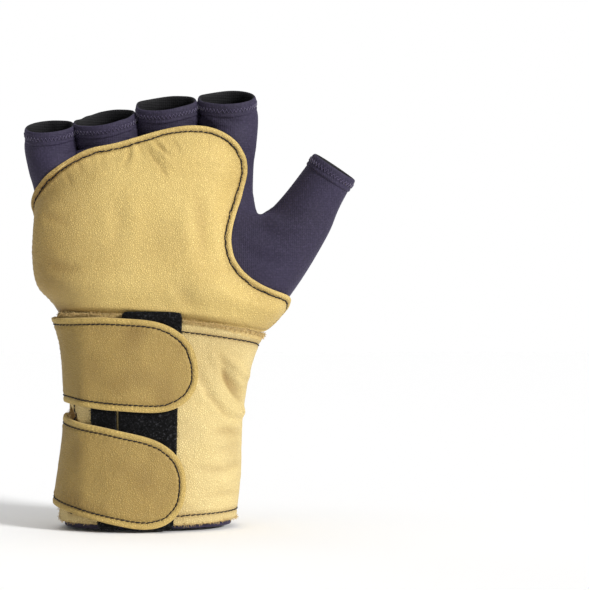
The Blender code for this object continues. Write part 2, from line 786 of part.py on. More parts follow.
def fold_height(turn, height):
    """How far the cuff's folds stand out."""
    total = 0
    for fold in CUFF_FOLDS:
        across = (turn - fold.turn) * WRIST_TURN
        up = height - fold.rise * CUFF_HEIGHT
        slope = math.radians(fold.slope)
        along = across * math.cos(slope) + up * math.sin(slope)
        off = up * math.cos(slope) - across * math.sin(slope)
        fade = (along / fold.reach) ** 2 + (off / fold.width) ** 2
        total += fold.height * CUFF_WALL * math.exp(-fade / WRIST_WIDTH**2)
    return total


def make_cuff(skin):
    """A leather band round the wrist, its two ends lapped at the little finger's side."""
    rows = []
    for i in range(CUFF_ROWS + 1):
        up = i / CUFF_ROWS
        row = []
        for k in range(CUFF_COLUMNS + 1):
            turn = CUFF_FRONT_END + (CUFF_BACK_END - CUFF_FRONT_END) * k / CUFF_COLUMNS
            height = mouth_height(turn) * (1 - up) + heel_height(turn) * up
            row.append(skin.at(turn, height, cuff_lift(turn) + fold_height(turn, height)))
        rows.append(row)
    return add_sheet("cuff", rows, CUFF_WALL, CREAM_LEATHER)


def heel_rise(turn, height):
    """Tape and strap are lifted where they cross from the cuff onto the leather palm's border."""
    edge = heel_height(turn)
    return HEEL_RISE * smooth(edge - HEEL_RISE * 4, edge, height)


def tape_edge(skin, height, distance):
    """The turn of a line down the front of the cuff, measured from the narrow tape's outer edge."""
    return skin.turn_after(skin.turn_at(-TAPE_START, height), height, distance)


def make_tape(skin, tape):
    """Loop pile tape, sewn down the front of the cuff."""
    columns = round(tape.width / TAPE_COLUMN)
    bottom, top = section_sizes(0).little_height, tape.top * CUFF_HEIGHT
    rows = []
    for i in range(TAPE_ROWS + 1):
        height = bottom + (top - bottom) * i / TAPE_ROWS
        row = []
        for k in range(columns + 1):
            turn = tape_edge(skin, height, tape.offset + tape.width * k / columns)
            lift = cuff_lift(turn) + CUFF_WALL + GAP + heel_rise(turn, height)
            row.append(skin.at(turn, height, lift))
        rows.append(row)
    return add_sheet(tape.name, rows, TAPE_WALL, BLACK_PILE)


def strap_lift(turn, height, tape_turn):
    """A strap lies on the back end of the cuff, then on its front end, then on the tape."""
    on_back = LIE + CUFF_WALL
    on_lap = on_back + LIE + CUFF_WALL
    start = on_back + (on_lap - on_back) * smooth(STRAP_START, CUFF_FRONT_END - 0.05, turn)
    on_front = smooth(OVERLAP_END, OVERLAP_END + OVERLAP_RAMP, turn)
    lift = start * (1 - on_front) + on_back * on_front
    on_tape = smooth(tape_turn - TAPE_STEP * 1.2, tape_turn - TAPE_STEP * 0.2, turn)
    return lift + (TAPE_WALL + GAP) * on_tape + LIE + heel_rise(turn, height)


def make_strap(skin, strap):
    """A leather strap from the little finger's side to its round end on the loop tape."""
    round_from = 1 - strap.width / 2 / strap.length * ROUND_END
    straight = STRAP_COLUMNS - END_COLUMNS
    shares = [round_from * k / straight for k in range(straight)]
    for k in range(END_COLUMNS + 1):
        shares.append(round_from + (1 - round_from) * math.sin(math.pi / 2 * k / END_COLUMNS))
    start, end = strap.start * CUFF_HEIGHT, strap.end * CUFF_HEIGHT
    rows = []
    for j in range(STRAP_ROWS + 1):
        side = 2 * j / STRAP_ROWS - 1
        row = []
        for share in shares:
            past = max(0, (share - round_from) / (1 - round_from))
            half = strap.width / 2 * (1 - past**END_ROUNDNESS) ** (1 / END_ROUNDNESS)
            height = start + (end - start) * share + half * side
            turn = skin.turn_after(STRAP_START, height, strap.length * share)
            lift = strap_lift(turn, height, tape_edge(skin, height, 0))
            row.append(skin.at(turn, height, lift))
        rows.append(row)
    return add_sheet(strap.name, rows, STRAP_WALL, CREAM_LEATHER)


# Hems


def make_hem(tube):
    """Doubled cloth that stands on the end of a stall, level with it inside and proud outside."""
    proud = HEM_WALL - CLOTH
    soft = HEM_WALL * 0.3
    profile = (
        (HEM_HEIGHT, -CLOTH),
        (HEM_HEIGHT, proud - soft),
        (HEM_HEIGHT - soft, proud),
        (soft, proud),
        (0, proud - soft),
        (0, soft - CLOTH),
        (soft, -CLOTH),
    )
    mesh = bmesh.new()
    rings = []
    for below, girth in profile:
        angles = [math.tau * k / HEM_SEGMENTS for k in range(HEM_SEGMENTS)]
        rings.append([mesh.verts.new(tube.point(a, below, girth=girth)) for a in angles])
    for low, high in zip(rings, rings[1:] + rings[:1]):
        bridge(mesh, low, high)
    return add_piece("hem_" + tube.name, mesh, NAVY_CLOTH)


clear_scene()
GLOVE = glove_collection()
hand_shell = make_hand_shell()
hand_skin = Skin(hand_shell)
thicken_shell(hand_shell)
make_palm_pad(hand_skin)
make_cuff(hand_skin)
for one in TAPES:
    make_tape(hand_skin, one)
for one in STRAPS:
    make_strap(hand_skin, one)
for one in STALLS:
    make_hem(stall_tube(one))
make_hem(thumb_tube())
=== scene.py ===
"""Half-finger impact glove for the right hand: cloth, leather, stitching and pile.

Everything is in metres, +Z up, with the fingers towards +Z, the palm facing -Y and the thumb
towards +X. The photo's frame is 589 by 590 pixels, half a millimetre to a pixel at the glove.
"""

import math
from collections import namedtuple

import bmesh
import bpy
import numpy as np
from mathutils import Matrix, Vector, noise
from mathutils.bvhtree import BVHTree
from mathutils.kdtree import KDTree


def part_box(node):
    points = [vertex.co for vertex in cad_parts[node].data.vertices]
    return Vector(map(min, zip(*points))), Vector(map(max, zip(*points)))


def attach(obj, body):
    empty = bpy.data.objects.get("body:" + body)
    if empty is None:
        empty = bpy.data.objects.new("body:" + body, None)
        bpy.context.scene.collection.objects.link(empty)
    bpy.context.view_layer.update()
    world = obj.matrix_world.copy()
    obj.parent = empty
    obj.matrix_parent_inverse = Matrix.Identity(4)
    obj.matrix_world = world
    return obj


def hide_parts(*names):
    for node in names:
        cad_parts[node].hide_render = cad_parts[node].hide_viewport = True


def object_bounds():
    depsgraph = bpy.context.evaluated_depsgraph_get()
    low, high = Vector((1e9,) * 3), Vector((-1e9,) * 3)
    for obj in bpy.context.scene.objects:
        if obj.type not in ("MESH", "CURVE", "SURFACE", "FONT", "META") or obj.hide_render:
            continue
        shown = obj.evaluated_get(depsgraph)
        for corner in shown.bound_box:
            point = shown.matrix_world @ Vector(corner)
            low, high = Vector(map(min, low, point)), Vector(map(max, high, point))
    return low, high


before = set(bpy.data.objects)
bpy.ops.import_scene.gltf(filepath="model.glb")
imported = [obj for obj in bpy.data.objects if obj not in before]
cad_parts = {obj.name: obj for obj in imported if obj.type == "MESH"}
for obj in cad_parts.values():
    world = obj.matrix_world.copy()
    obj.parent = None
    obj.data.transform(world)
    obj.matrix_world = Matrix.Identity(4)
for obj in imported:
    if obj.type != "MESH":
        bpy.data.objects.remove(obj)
cad_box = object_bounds()

# Cloth hand
# Stretch knit cut in a few panels and sewn, lining and face cloth together. It carries the
# leather palm and the cuff, and it folds where the thumb, the web and the fingers bend.
MM = 0.001
WELD = 0.02 * MM
WALL_ANGLE = math.radians(48)  # a sharper edge parts the outside from the cut edge
QUAD_ANGLE = math.radians(60)
OUTSIDE, CUT_EDGE, INSIDE = 0, 1, 2  # a piece's faces, numbered as its materials
HAND_AXIS = Vector((0.004, 0, 0))
SHELL_LEVELS = 2
PIXEL = 0.5 * MM
PHOTO_ORIGIN = (147, 528)  # pixel of the glove's origin


def mark_sides(bm):
    """Numbers the faces of a thin closed piece as its outside, its cut edge or its inside."""
    waiting = set(bm.faces)
    patches = []
    for start in bm.faces:
        if start not in waiting:
            continue
        waiting.remove(start)
        patch = [start]
        for face in patch:
            for edge in face.edges:
                if len(edge.link_faces) == 2 and edge.calc_face_angle() < WALL_ANGLE:
                    for other in edge.link_faces:
                        if other in waiting:
                            waiting.remove(other)
                            patch.append(other)
        patches.append(patch)
    patches.sort(key=lambda patch: -sum(face.calc_area() for face in patch))

    def outwards(patch):
        total = 0
        for face in patch:
            away = face.calc_center_median() - HAND_AXIS
            away.z = 0
            total += face.calc_area() * face.normal.dot(away.normalized())
        return total

    walls = sorted(patches[:2], key=outwards, reverse=True)
    for patch in patches:
        side = OUTSIDE if patch is walls[0] else INSIDE if patch is walls[-1] else CUT_EDGE
        for face in patch:
            face.material_index = side


def keep_modified(obj):
    """Makes what the object's modifiers give its own plain mesh."""
    graph = bpy.context.evaluated_depsgraph_get()
    mesh = bpy.data.meshes.new_from_object(obj.evaluated_get(graph))
    obj.modifiers.clear()
    obj.data = mesh
    return obj


def new_object(name, data):
    """An object in the scene with this mesh, light or camera."""
    obj = bpy.data.objects.new(name, data)
    bpy.context.scene.collection.objects.link(obj)
    return obj


def refine(obj, levels):
    """Smooths the piece into finer faces."""
    fine = obj.modifiers.new("fine", "SUBSURF")
    fine.levels = fine.render_levels = levels
    return keep_modified(obj)


def soft_copy(node, name, levels, crispness):
    """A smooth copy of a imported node, its outside, cut edge and inside numbered for materials."""
    bm = bmesh.new()
    bm.from_mesh(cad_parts[node].data)
    bmesh.ops.remove_doubles(bm, verts=bm.verts, dist=WELD)
    bmesh.ops.join_triangles(
        bm, faces=bm.faces, angle_face_threshold=QUAD_ANGLE, angle_shape_threshold=QUAD_ANGLE
    )
    mark_sides(bm)
    crisp = bm.edges.layers.float.new("crease_edge")
    for edge in bm.edges:
        edge.smooth = True
        if len({face.material_index for face in edge.link_faces}) > 1:
            edge[crisp] = crispness
    for face in bm.faces:
        face.smooth = True
    mesh = bpy.data.meshes.new(name)
    bm.to_mesh(mesh)
    bm.free()
    return refine(new_object(name, mesh), levels)


def read_points(mesh, attribute="co"):
    """The mesh's points, or their normals, as rows of a table."""
    table = np.empty(len(mesh.vertices) * 3, np.float32)
    if attribute == "co":
        mesh.vertices.foreach_get("co", table)
    else:
        mesh.vertex_normals.foreach_get("vector", table)
    return table.reshape(-1, 3).astype(float)


def write_points(mesh, table):
    mesh.vertices.foreach_set("co", table.astype(np.float32).ravel())
    mesh.update()


def push_out(mesh, change):
    """Moves each point along its normal, by its own amount."""
    points, ways = read_points(mesh), read_points(mesh, "normal")
    write_points(mesh, points + ways * change[:, None])


def side_mask(mesh, side=OUTSIDE):
    """True for each point that lies on a face of that side."""
    mask = np.zeros(len(mesh.vertices), bool)
    for face in mesh.polygons:
        if face.material_index == side:
            mask[list(face.vertices)] = True
    return mask


def surface_tree(mesh):
    """The faces of the outside, for finding the nearest point or what a ray meets."""
    faces = [tuple(face.vertices) for face in mesh.polygons if face.material_index == OUTSIDE]
    return BVHTree.FromPolygons([v.co.copy() for v in mesh.vertices], faces)


def nearest(points, line, reach):
    """For each point, how far the line's nearest sample is and its number, out to that reach."""
    tree = KDTree(len(line))
    for number, place in enumerate(line):
        tree.insert(place, number)
    tree.balance()
    low, high = np.min(line, 0) - reach, np.max(line, 0) + reach
    away = np.full(len(points), 10.0)
    number = np.zeros(len(points), int)
    for k in np.flatnonzero(((points > low) & (points < high)).all(1)):
        place, found, distance = tree.find(points[k])
        away[k], number[k] = distance, found
    return away, number


def ripple(points, wavelength, seed=0.0):
    """Smooth random heights of about -1 to 1, that far apart."""
    places = points / wavelength + seed * 7.31
    return np.array([noise.noise(Vector(place)) for place in places])


def ease(values, start, end):
    """From 0 at the start to 1 at the end, level at both."""
    share = np.clip((values - start) / (end - start), 0, 1)
    return share * share * (3 - 2 * share)


def hump(values, start, top, fall, end):
    """From 0 at the start up to 1, and from the fall back to 0 at the end."""
    return ease(values, start, top) * (1 - ease(values, fall, end))


def smooth_line(knots, step):
    """Places about a step apart on a smooth curve through the knots."""
    knots = [Vector(k) for k in knots]
    ends = [knots[0] * 2 - knots[1], *knots, knots[-1] * 2 - knots[-2]]
    line = []
    for before, a, b, after in zip(ends, ends[1:], ends[2:], ends[3:]):
        count = max(1, round((b - a).length / step))
        for k in range(count):
            t = k / count
            line.append(
                a
                + (b - before) * 0.5 * t
                + (before * 2 - a * 5 + b * 4 - after) * 0.5 * t * t
                + (a * 3 - before - b * 3 + after) * 0.5 * t * t * t
            )
    line.append(knots[-1])
    return line


# A crease runs through pixels of the photo's frame, on the palm's side or the back's. Its width
# and height are in mm, a valley's height below zero.
Crease = namedtuple("Crease", "side width height pixels")


def creases(side, *rows):
    """Creases on one side of the glove, from rows of width, height and pixels."""
    return [Crease(side, width, height, pixels) for width, height, *pixels in rows]


def crease_path(tree, crease):
    """The crease's places on the surface, looked up from the palm's side or from the back."""
    x0, y0 = PHOTO_ORIGIN
    knots = [Vector(((x - x0) * PIXEL, 0, (y0 - y) * PIXEL)) for x, y in crease.pixels]
    front = -1 if crease.side == "palm" else 1
    path = []
    for place in smooth_line(knots, 1 * MM):
        found = tree.ray_cast(Vector((place.x, front * 0.2, place.z)), Vector((0, -front, 0)))[0]
        if found is None:
            found = tree.find_nearest(Vector((place.x, front * 0.01, place.z)))[0]
        path.append(found)
    return path


def press_creases(mesh, creases):
    """Raises ridges and sinks valleys along the creases, and returns each point's change."""
    points, tree = read_points(mesh), surface_tree(mesh)
    change = np.zeros(len(points))
    for crease in creases:
        path = crease_path(tree, crease)
        width = crease.width * MM
        away, number = nearest(points, path, 3 * width)
        share = number / max(1, len(path) - 1)
        fade = np.sin(np.pi * np.clip(share, 0.02, 0.98)) ** 0.6
        across = away / width
        if crease.height < 0:
            shape = np.exp(-(across**2)) - 0.42 * np.exp(-(((across - 1.9) / 0.8) ** 2))
        else:
            shape = np.exp(-(across**2) * 0.8)
        change += crease.height * MM * fade * shape
    change *= side_mask(mesh)
    push_out(mesh, change)
    return change


def set_shade(mesh, name, values):
    """Keeps a number from 0 to 1 for each point, which a material reads by name."""
    kept = mesh.attributes.new(name, "FLOAT", "POINT")
    kept.data.foreach_set("value", np.clip(values, 0, 1).astype(np.float32))


def linear(code):
    """A colour from its sRGB hex code."""
    parts = [int(code[k : k + 2], 16) / 255 for k in (1, 3, 5)]
    return [p / 12.92 if p < 0.04045 else ((p + 0.055) / 1.055) ** 2.4 for p in parts] + [1]


def add_node(tree, kind, inputs, **settings):
    """Adds a node with its settings, and gives each input a value or another node's socket."""
    node = tree.nodes.new(kind)
    for name, value in settings.items():
        setattr(node, name, value)
    for key, value in inputs.items():
        named = [s for s in node.inputs if key in (s.identifier, s.name)]
        socket = node.inputs[key] if isinstance(key, int) else named[0]
        if isinstance(value, bpy.types.NodeSocket):
            tree.links.new(value, socket)
        else:
            socket.default_value = value
    return node


def start_material(name):
    """An empty material, its node tree and its Object coordinates."""
    material = bpy.data.materials.new(name)
    material.use_nodes = True
    tree = material.node_tree
    tree.nodes.clear()
    place = add_node(tree, "ShaderNodeTexCoord", {}).outputs["Object"]
    return material, tree, place


def finish_material(tree, looks):
    """Ends a material in a shader with these inputs."""
    shader = add_node(tree, "ShaderNodeBsdfPrincipled", looks)
    add_node(tree, "ShaderNodeOutputMaterial", {"Surface": shader.outputs["BSDF"]})


def add_noise(tree, place, size, **inputs):
    """Soft random values in patches of about that size."""
    inputs = {"Vector": place, "Scale": 1 / size, **inputs}
    return add_node(tree, "ShaderNodeTexNoise", inputs).outputs["Fac"]


def remap(tree, value, start=0.0, end=1.0, low=0.0, high=1.0, **settings):
    """Carries a value from one range to another."""
    limits = {"From Min": start, "From Max": end, "To Min": low, "To Max": high}
    return add_node(tree, "ShaderNodeMapRange", {"Value": value, **limits}, **settings).outputs[0]


def mix_colours(tree, share, first, second):
    """A colour between two, each a hex code or another node's colour."""
    ends = [linear(c) if isinstance(c, str) else c for c in (first, second)]
    inputs = {0: share, 6: ends[0], 7: ends[1]}
    return add_node(tree, "ShaderNodeMix", inputs, data_type="RGBA").outputs[2]


def add_bump(tree, height, strength, distance, normal=None):
    """Bumps on the surface, over those that the normal has."""
    inputs = {"Height": height, "Strength": strength, "Distance": distance}
    if normal is not None:
        inputs["Normal"] = normal
    return add_node(tree, "ShaderNodeBump", inputs).outputs["Normal"]


# Stretch knit of polyester and elastane: fine ribs and a soft sheen. The ribs are drawn 1 mm
# apart, twice the real pitch, so that they show.
KNIT_RIB = 1.0 * MM
KNIT_DARK = "#1b1625"
KNIT_LIT = "#2b243f"
KNIT_WORN = "#433a55"


def stretch_knit(name, dark, lit, worn, sheen=0.14):
    """Knitted cloth, flecked and ribbed both ways, with a nap that catches the light."""
    material, tree, place = start_material(name)
    fleck = add_noise(tree, place, 1.1 * MM, Detail=3.0)
    tone = mix_colours(tree, add_noise(tree, place, 30 * MM, Detail=2.0), dark, lit)
    waves = [
        add_node(
            tree,
            "ShaderNodeTexWave",
            {"Vector": place, "Scale": scale / KNIT_RIB, "Distortion": bend, "Detail": 1.0},
            bands_direction=way,
        ).outputs["Fac"]
        for way, scale, bend in (("X", 0.314, 1.2), ("Z", 0.25, 1.5))
    ]
    loops = add_node(tree, "ShaderNodeMath", {0: waves[0], 1: waves[1]}, operation="ADD")
    ribs = add_bump(tree, loops.outputs[0], 0.5, 0.10 * MM)
    looks = {
        "Base Color": mix_colours(tree, remap(tree, fleck, 0.45, 0.85, 0.0, 0.55), tone, worn),
        "Roughness": 0.78,
        "IOR": 1.45,
        "Sheen Weight": sheen,
        "Sheen Roughness": 0.4,
        "Sheen Tint": linear("#9a8fc4"),
        "Normal": add_bump(tree, fleck, 0.7, 0.25 * MM, ribs),
    }
    finish_material(tree, looks)
    return material


def give_materials(obj, *materials):
    """The piece's outside, cut edge and inside take these in turn."""
    sides = [face.material_index for face in obj.data.polygons]
    obj.data.materials.clear()
    for material in materials:
        obj.data.materials.append(material)
    obj.data.polygons.foreach_set("material_index", sides)


def hand_in(obj, node):
    """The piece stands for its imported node, and follows the glove's one body."""
    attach(obj, "root")
    if node:
        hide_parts(node)


SHELL_CREASES = [
    *creases(
        "palm",
        # across the root of the thumb
        (2.6, 0.9, (238, 236), (254, 245), (272, 252), (292, 254)),
        (1.5, -0.8, (236, 246), (254, 256), (274, 263), (296, 262)),
        (2.4, 0.7, (246, 262), (264, 270), (284, 276)),
        (1.4, -0.6, (262, 232), (282, 238), (306, 236)),
        (1.6, -0.6, (256, 205), (262, 222), (262, 238)),
        (2.6, 0.8, (266, 214), (275, 226), (290, 228)),
        # under the fingers
        (1.5, -0.6, (70, 141), (74, 150), (78, 158)),
        (1.5, -0.6, (124, 122), (127, 130), (131, 138)),
        (1.6, -0.7, (199, 108), (203, 118), (212, 128)),
        (1.3, -0.5, (216, 118), (230, 124), (246, 126)),
        (1.4, -0.5, (246, 150), (251, 166), (252, 188)),
        (1.3, -0.4, (250, 140), (256, 160), (258, 182)),
    ),
    *creases(
        "back",
        # webs and knuckles
        (2.0, -1.2, (88, 122), (86, 142), (82, 170)),
        (2.0, -1.2, (141, 108), (140, 130), (138, 160)),
        (2.0, -1.2, (196, 98), (196, 122), (192, 156)),
        (3.2, 1.3, (56, 170), (70, 164), (82, 172)),
        (3.4, 1.5, (92, 166), (112, 156), (132, 162)),
        (3.4, 1.5, (146, 158), (166, 150), (186, 156)),
        (3.2, 1.3, (200, 152), (216, 148), (230, 156)),
        (2.2, -0.6, (50, 190), (90, 184), (140, 178), (190, 174), (236, 178)),
        # folds that the thumb draws, and slack above the cuff
        (1.7, -1.3, (232, 196), (252, 204), (276, 212), (300, 210)),
        (2.2, 1.3, (230, 208), (250, 218), (274, 226), (292, 226)),
        (1.6, -1.2, (216, 220), (240, 234), (264, 244), (288, 246)),
        (2.2, 1.0, (212, 236), (236, 250), (262, 262), (276, 262)),
        (1.6, -0.9, (196, 240), (222, 258), (246, 270)),
        (2.0, -0.9, (66, 292), (100, 300), (150, 306), (200, 310), (240, 322)),
        (2.4, 1.0, (62, 278), (100, 286), (150, 292), (204, 298), (244, 310)),
        (2.2, -0.7, (58, 256), (90, 268), (130, 274), (170, 272)),
    ),
]
SHELL_RIPPLE = 0.32 * MM

knit = stretch_knit("stretch knit", KNIT_DARK, KNIT_LIT, KNIT_WORN)
# real lining, its colours darkened to near black as painted shade inside the stalls
lining_with_painted_shade = stretch_knit("brushed knit lining", "#040406", "#09080c", "#0e0c12", sheen=0.02)
shell = soft_copy("hand_shell", "cloth_hand", SHELL_LEVELS, 0.5)
press_creases(shell.data, SHELL_CREASES)
shell_wave = ripple(read_points(shell.data) * (1, 1, 0.6), 17 * MM) * SHELL_RIPPLE
push_out(shell.data, shell_wave * side_mask(shell.data))


# The stalls of neighbouring fingers touch. A gap runs from its crotch's pixel to the rims'.
Gap = namedtuple("Gap", "crotch top")
STALL_GAPS = (
    Gap((77.5, 156), (75.0, 124)),
    Gap((138.5, 141), (136.5, 112)),
    Gap((200.0, 130), (196.5, 104)),
)
GAP_LEFT = -0.5 * MM  # pressed into each other by this much
HEM_PROUD = 0.9 * MM  # the hems need this much more
CROTCH_PRESS = 0.6 * MM  # pressed deeper by this near the crotch
GAP_REACH = 10 * MM
GAP_SLICE = 1.5 * MM


def photo_place(pixel):
    """Across and up of a pixel on the glove."""
    return (pixel[0] - PHOTO_ORIGIN[0]) * PIXEL, (PHOTO_ORIGIN[1] - pixel[1]) * PIXEL


def close_gaps(mesh):
    """Leans the walls of neighbouring stalls together until they press on each other."""
    points = read_points(mesh)
    for gap in STALL_GAPS:
        (x_low, z_low), (x_top, z_top) = photo_place(gap.crotch), photo_place(gap.top)
        rise = (points[:, 2] - z_low) / (z_top - z_low)
        off = points[:, 0] - (x_low + (x_top - x_low) * rise)
        within = (rise > -0.1) & (rise < 1.6) & (np.abs(off) < GAP_REACH)
        for side in (-1, 1):
            here = within & (np.sign(off) == side)
            slices = np.round(points[:, 2] / GAP_SLICE)
            levels = sorted(set(slices[here]))
            nearest_wall = [np.abs(off[here & (slices == level)]).min() for level in levels]
            open_by = np.interp(points[:, 2] / GAP_SLICE, levels, nearest_wall)
            open_by -= GAP_LEFT + HEM_PROUD * ease(rise, 0.55, 0.8)
            open_by += CROTCH_PRESS * (1 - ease(rise, 0.3, 0.5))
            hold = (1 - ease(np.abs(off), 3 * MM, GAP_REACH)) * ease(rise, -0.10, 0.06)
            points[:, 0] -= here * side * np.maximum(open_by, 0) * hold
    write_points(mesh, points)


close_gaps(shell.data)
give_materials(shell, knit, knit, lining_with_painted_shade)
hand_in(shell, "hand_shell")


# Hems
# The end of each finger stall is folded over and sewn with a flat covering stitch. The band
# is two cloths thick, with a ridge at its lower edge and a zigzag of thread above it.
# Round the band's section: out from the stall's outside and up from its end, in mm
HEM_SECTION = (
    (-0.3, -1.9), (0.35, -1.7), (0.8, -1.1), (0.85, -0.4), (0.55, 0.1), (0.6, 1.2), (0.65, 2.6),
    (0.55, 4.0), (0.25, 4.9), (-0.35, 5.35), (-1.0, 5.0), (-1.4, 4.0), (-1.5, 1.5), (-1.5, -1.0),
)
HEM_STEP = 0.9 * MM
HEM_ZIGZAG = ((0.95, 0.75), (2.75, 0.80))  # up, and out, of the zigzag's two sides, in mm
HEM_THREAD = 0.42 * MM
STALLS = ("little", "ring", "middle", "index", "thumb")


def rim_loops(mesh):
    """The borders of the outside, each as point numbers in order, with the outside on its left."""
    ways = set()
    for face in mesh.polygons:
        if face.material_index == OUTSIDE:
            corners = list(face.vertices)
            ways.update(zip(corners, corners[1:] + corners[:1]))
    follow = {a: b for a, b in sorted(ways) if (b, a) not in ways}
    loops = []
    while follow:
        start = min(follow)
        loop = [start]
        place = follow.pop(start)
        while place in follow:
            loop.append(place)
            place = follow.pop(place)
        loops.append(loop)
    return sorted(loops, key=len, reverse=True)


# A line on a piece: its places, the way out of the surface at each, and whether it closes.
Line = namedtuple("Line", "places ways closed")


def even_steps(places, step, closed):
    """The same path with its places a step apart."""
    places = np.array(places, float)
    if closed:
        places = np.vstack([places, places[:1]])
    lengths = np.r_[0, np.cumsum(np.linalg.norm(np.diff(places, axis=0), axis=1))]
    count = max(2, round(lengths[-1] / step))
    at = np.linspace(0, lengths[-1], count, endpoint=not closed)
    return np.stack([np.interp(at, lengths, places[:, k]) for k in range(3)], 1)


def soften(places, rounds, closed):
    """Evens out a path's small kinks."""
    for _ in range(rounds):
        before, after = np.roll(places, 1, 0), np.roll(places, -1, 0)
        moved = places * 0.5 + (before + after) * 0.25
        if not closed:
            moved[0], moved[-1] = places[0], places[-1]
        places = moved
    return places


def sweep(name, rings, closed_path, closed_section):
    """A piece through rings of places, with quads between each ring and the next."""
    count, size = len(rings), len(rings[0])
    places = [tuple(place) for ring in rings for place in ring]
    faces = []
    for i in range(count if closed_path else count - 1):
        for k in range(size if closed_section else size - 1):
            near, far = i * size, (i + 1) % count * size
            faces.append((near + k, far + k, far + (k + 1) % size, near + (k + 1) % size))
    if closed_section and not closed_path:
        faces.append(tuple(range(size)))
        faces.append(tuple((count - 1) * size + k for k in reversed(range(size))))
    mesh = bpy.data.meshes.new(name)
    mesh.from_pydata(places, [], faces)
    bm = bmesh.new()
    bm.from_mesh(mesh)
    bmesh.ops.recalc_face_normals(bm, faces=bm.faces)
    for face in bm.faces:
        face.smooth = True
    bm.to_mesh(mesh)
    bm.free()
    return new_object(name, mesh)


shell_rims = [read_points(shell.data)[loop] for loop in rim_loops(shell.data)]
hem_zigzags = []
for stall in STALLS:
    low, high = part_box("hem_" + stall)
    middle = np.array((low + high) / 2)
    rim = min(shell_rims, key=lambda r: np.linalg.norm(r.mean(0) - middle))
    rim = soften(even_steps(rim, HEM_STEP, True), 3, True)
    centre = rim.mean(0)
    arms = rim - centre
    axis = np.cross(arms, np.roll(arms, -1, 0)).sum(0)
    axis /= np.linalg.norm(axis)
    if axis.dot(middle - centre) < 0:
        axis = -axis
    along = np.roll(rim, -1, 0) - np.roll(rim, 1, 0)
    out = np.cross(along, axis)
    out *= np.sign((out * arms).sum(1))[:, None]
    out /= np.linalg.norm(out, axis=1)[:, None]
    out = soften(out, 6, True)
    pull = 1 + 0.16 * ripple(rim, 5 * MM, 9.0)[:, None]
    rings = [
        [rim[k] + out[k] * u * pull[k] * MM + axis * v * MM for u, v in HEM_SECTION]
        for k in range(len(rim))
    ]
    hem = refine(sweep("hem_band_" + stall, rings, True, True), 1)
    middles = np.array([face.center for face in hem.data.polygons])
    number = nearest(middles, rim, 8 * MM)[1]
    # faces turned into the stall take the near-black lining, which also paints the shade inside the
    # opening
    for face, k in zip(hem.data.polygons, number):
        face.material_index = int(face.normal.dot(Vector(out[k])) < -0.2)
    give_materials(hem, knit, lining_with_painted_shade)
    hand_in(hem, "hem_" + stall)
    zigzag = [
        rim[k] + out[k] * HEM_ZIGZAG[k % 2][1] * MM + axis * HEM_ZIGZAG[k % 2][0] * MM
        for k in range(len(rim) // 2 * 2)
    ]
    hem_zigzags.append(Line(np.array(zigzag), out[: len(zigzag)], True))


# Leather palm
# Cream grain leather over a soft impact pad, stitched all round to the cloth palm. The seam
# draws the leather in, so that it puffs up inside the seam and gathers run in from it.
PAD_LEVELS = 3
PAD_SEAM = 2.9 * MM  # cut edge to stitches
PAD_STEP = 2.7 * MM  # one stitch to the next
LEATHER_LIT = "#dcc37c"
LEATHER_MID = "#d0b369"
# the dark of the grain's hollows, and of real dirt and painted shade
LEATHER_DIRT_AND_SHADE = "#7f5f2c"
GRAIN = 0.9 * MM  # pebbles, drawn a little coarser than goatskin's


def grain_leather(name, lit, mid, dirt_and_shade):
    """Goatskin, dyed through and rolled: round pebbles with fine pores, matt with a soft gloss."""
    material, tree, place = start_material(name)
    bend = add_node(
        tree, "ShaderNodeTexNoise", {"Vector": place, "Scale": 1 / (3 * MM), "Detail": 1.0}
    )
    nudge = add_node(
        tree,
        "ShaderNodeMixRGB",
        {"Fac": 0.0012, "Color1": place, "Color2": bend.outputs["Color"]},
        blend_type="ADD",
    )
    cells = add_node(
        tree,
        "ShaderNodeTexVoronoi",
        {"Vector": nudge.outputs[0], "Scale": 1 / GRAIN},
        feature="DISTANCE_TO_EDGE",
    )
    pebbles = remap(tree, cells.outputs["Distance"], 0.0, 0.32, interpolation_type="SMOOTHSTEP")
    pores = add_noise(tree, place, 0.5 * MM, Detail=2.0)
    hide = add_noise(tree, place, 22 * MM, Detail=4.0)
    lines = add_noise(tree, place, 7 * MM, Detail=3.0, Distortion=0.8)
    tone = mix_colours(tree, hide, mid, lit)
    grained = mix_colours(tree, remap(tree, pebbles, 0.0, 0.6, 0.34, 0.0), tone, dirt_and_shade)
    # per point, a share of real dirt and of painted shade in seams, creases and shaded sides, kept
    # on the mesh
    dirt_and_shade_share = add_node(tree, "ShaderNodeAttribute", {}, attribute_name="dirt_and_shade").outputs["Fac"]
    creased = add_bump(tree, lines, 0.55, 1.1 * MM)
    raised = add_bump(tree, pebbles, 0.85, 0.22 * MM, creased)
    looks = {
        "Base Color": mix_colours(tree, dirt_and_shade_share, grained, dirt_and_shade),
        "Roughness": remap(tree, hide, low=0.5, high=0.64),
        "Specular IOR Level": 0.34,
        "Normal": add_bump(tree, pores, 0.5, 0.10 * MM, raised),
    }
    finish_material(tree, looks)
    return material


def raw_leather(name, light, dark):
    """The cut side of leather: matt, fibrous and a little uneven in colour."""
    material, tree, place = start_material(name)
    fibres = add_noise(tree, place, 0.6 * MM, Detail=4.0)
    looks = {
        "Base Color": mix_colours(tree, fibres, dark, light),
        "Roughness": 0.92,
        "Specular IOR Level": 0.2,
        "Normal": add_bump(tree, fibres, 0.9, 0.3 * MM),
    }
    finish_material(tree, looks)
    return material


def seat(tree, places, closed):
    """A line through the places, laid on the surface."""
    found = [tree.find_nearest(Vector(place)) for place in places]
    return Line(np.array([f[0] for f in found]), np.array([f[1] for f in found]), closed)


LINE_STEP = 0.4 * MM
SNIP = 0.90  # a place nearer to the rim than this share of the inset is dropped


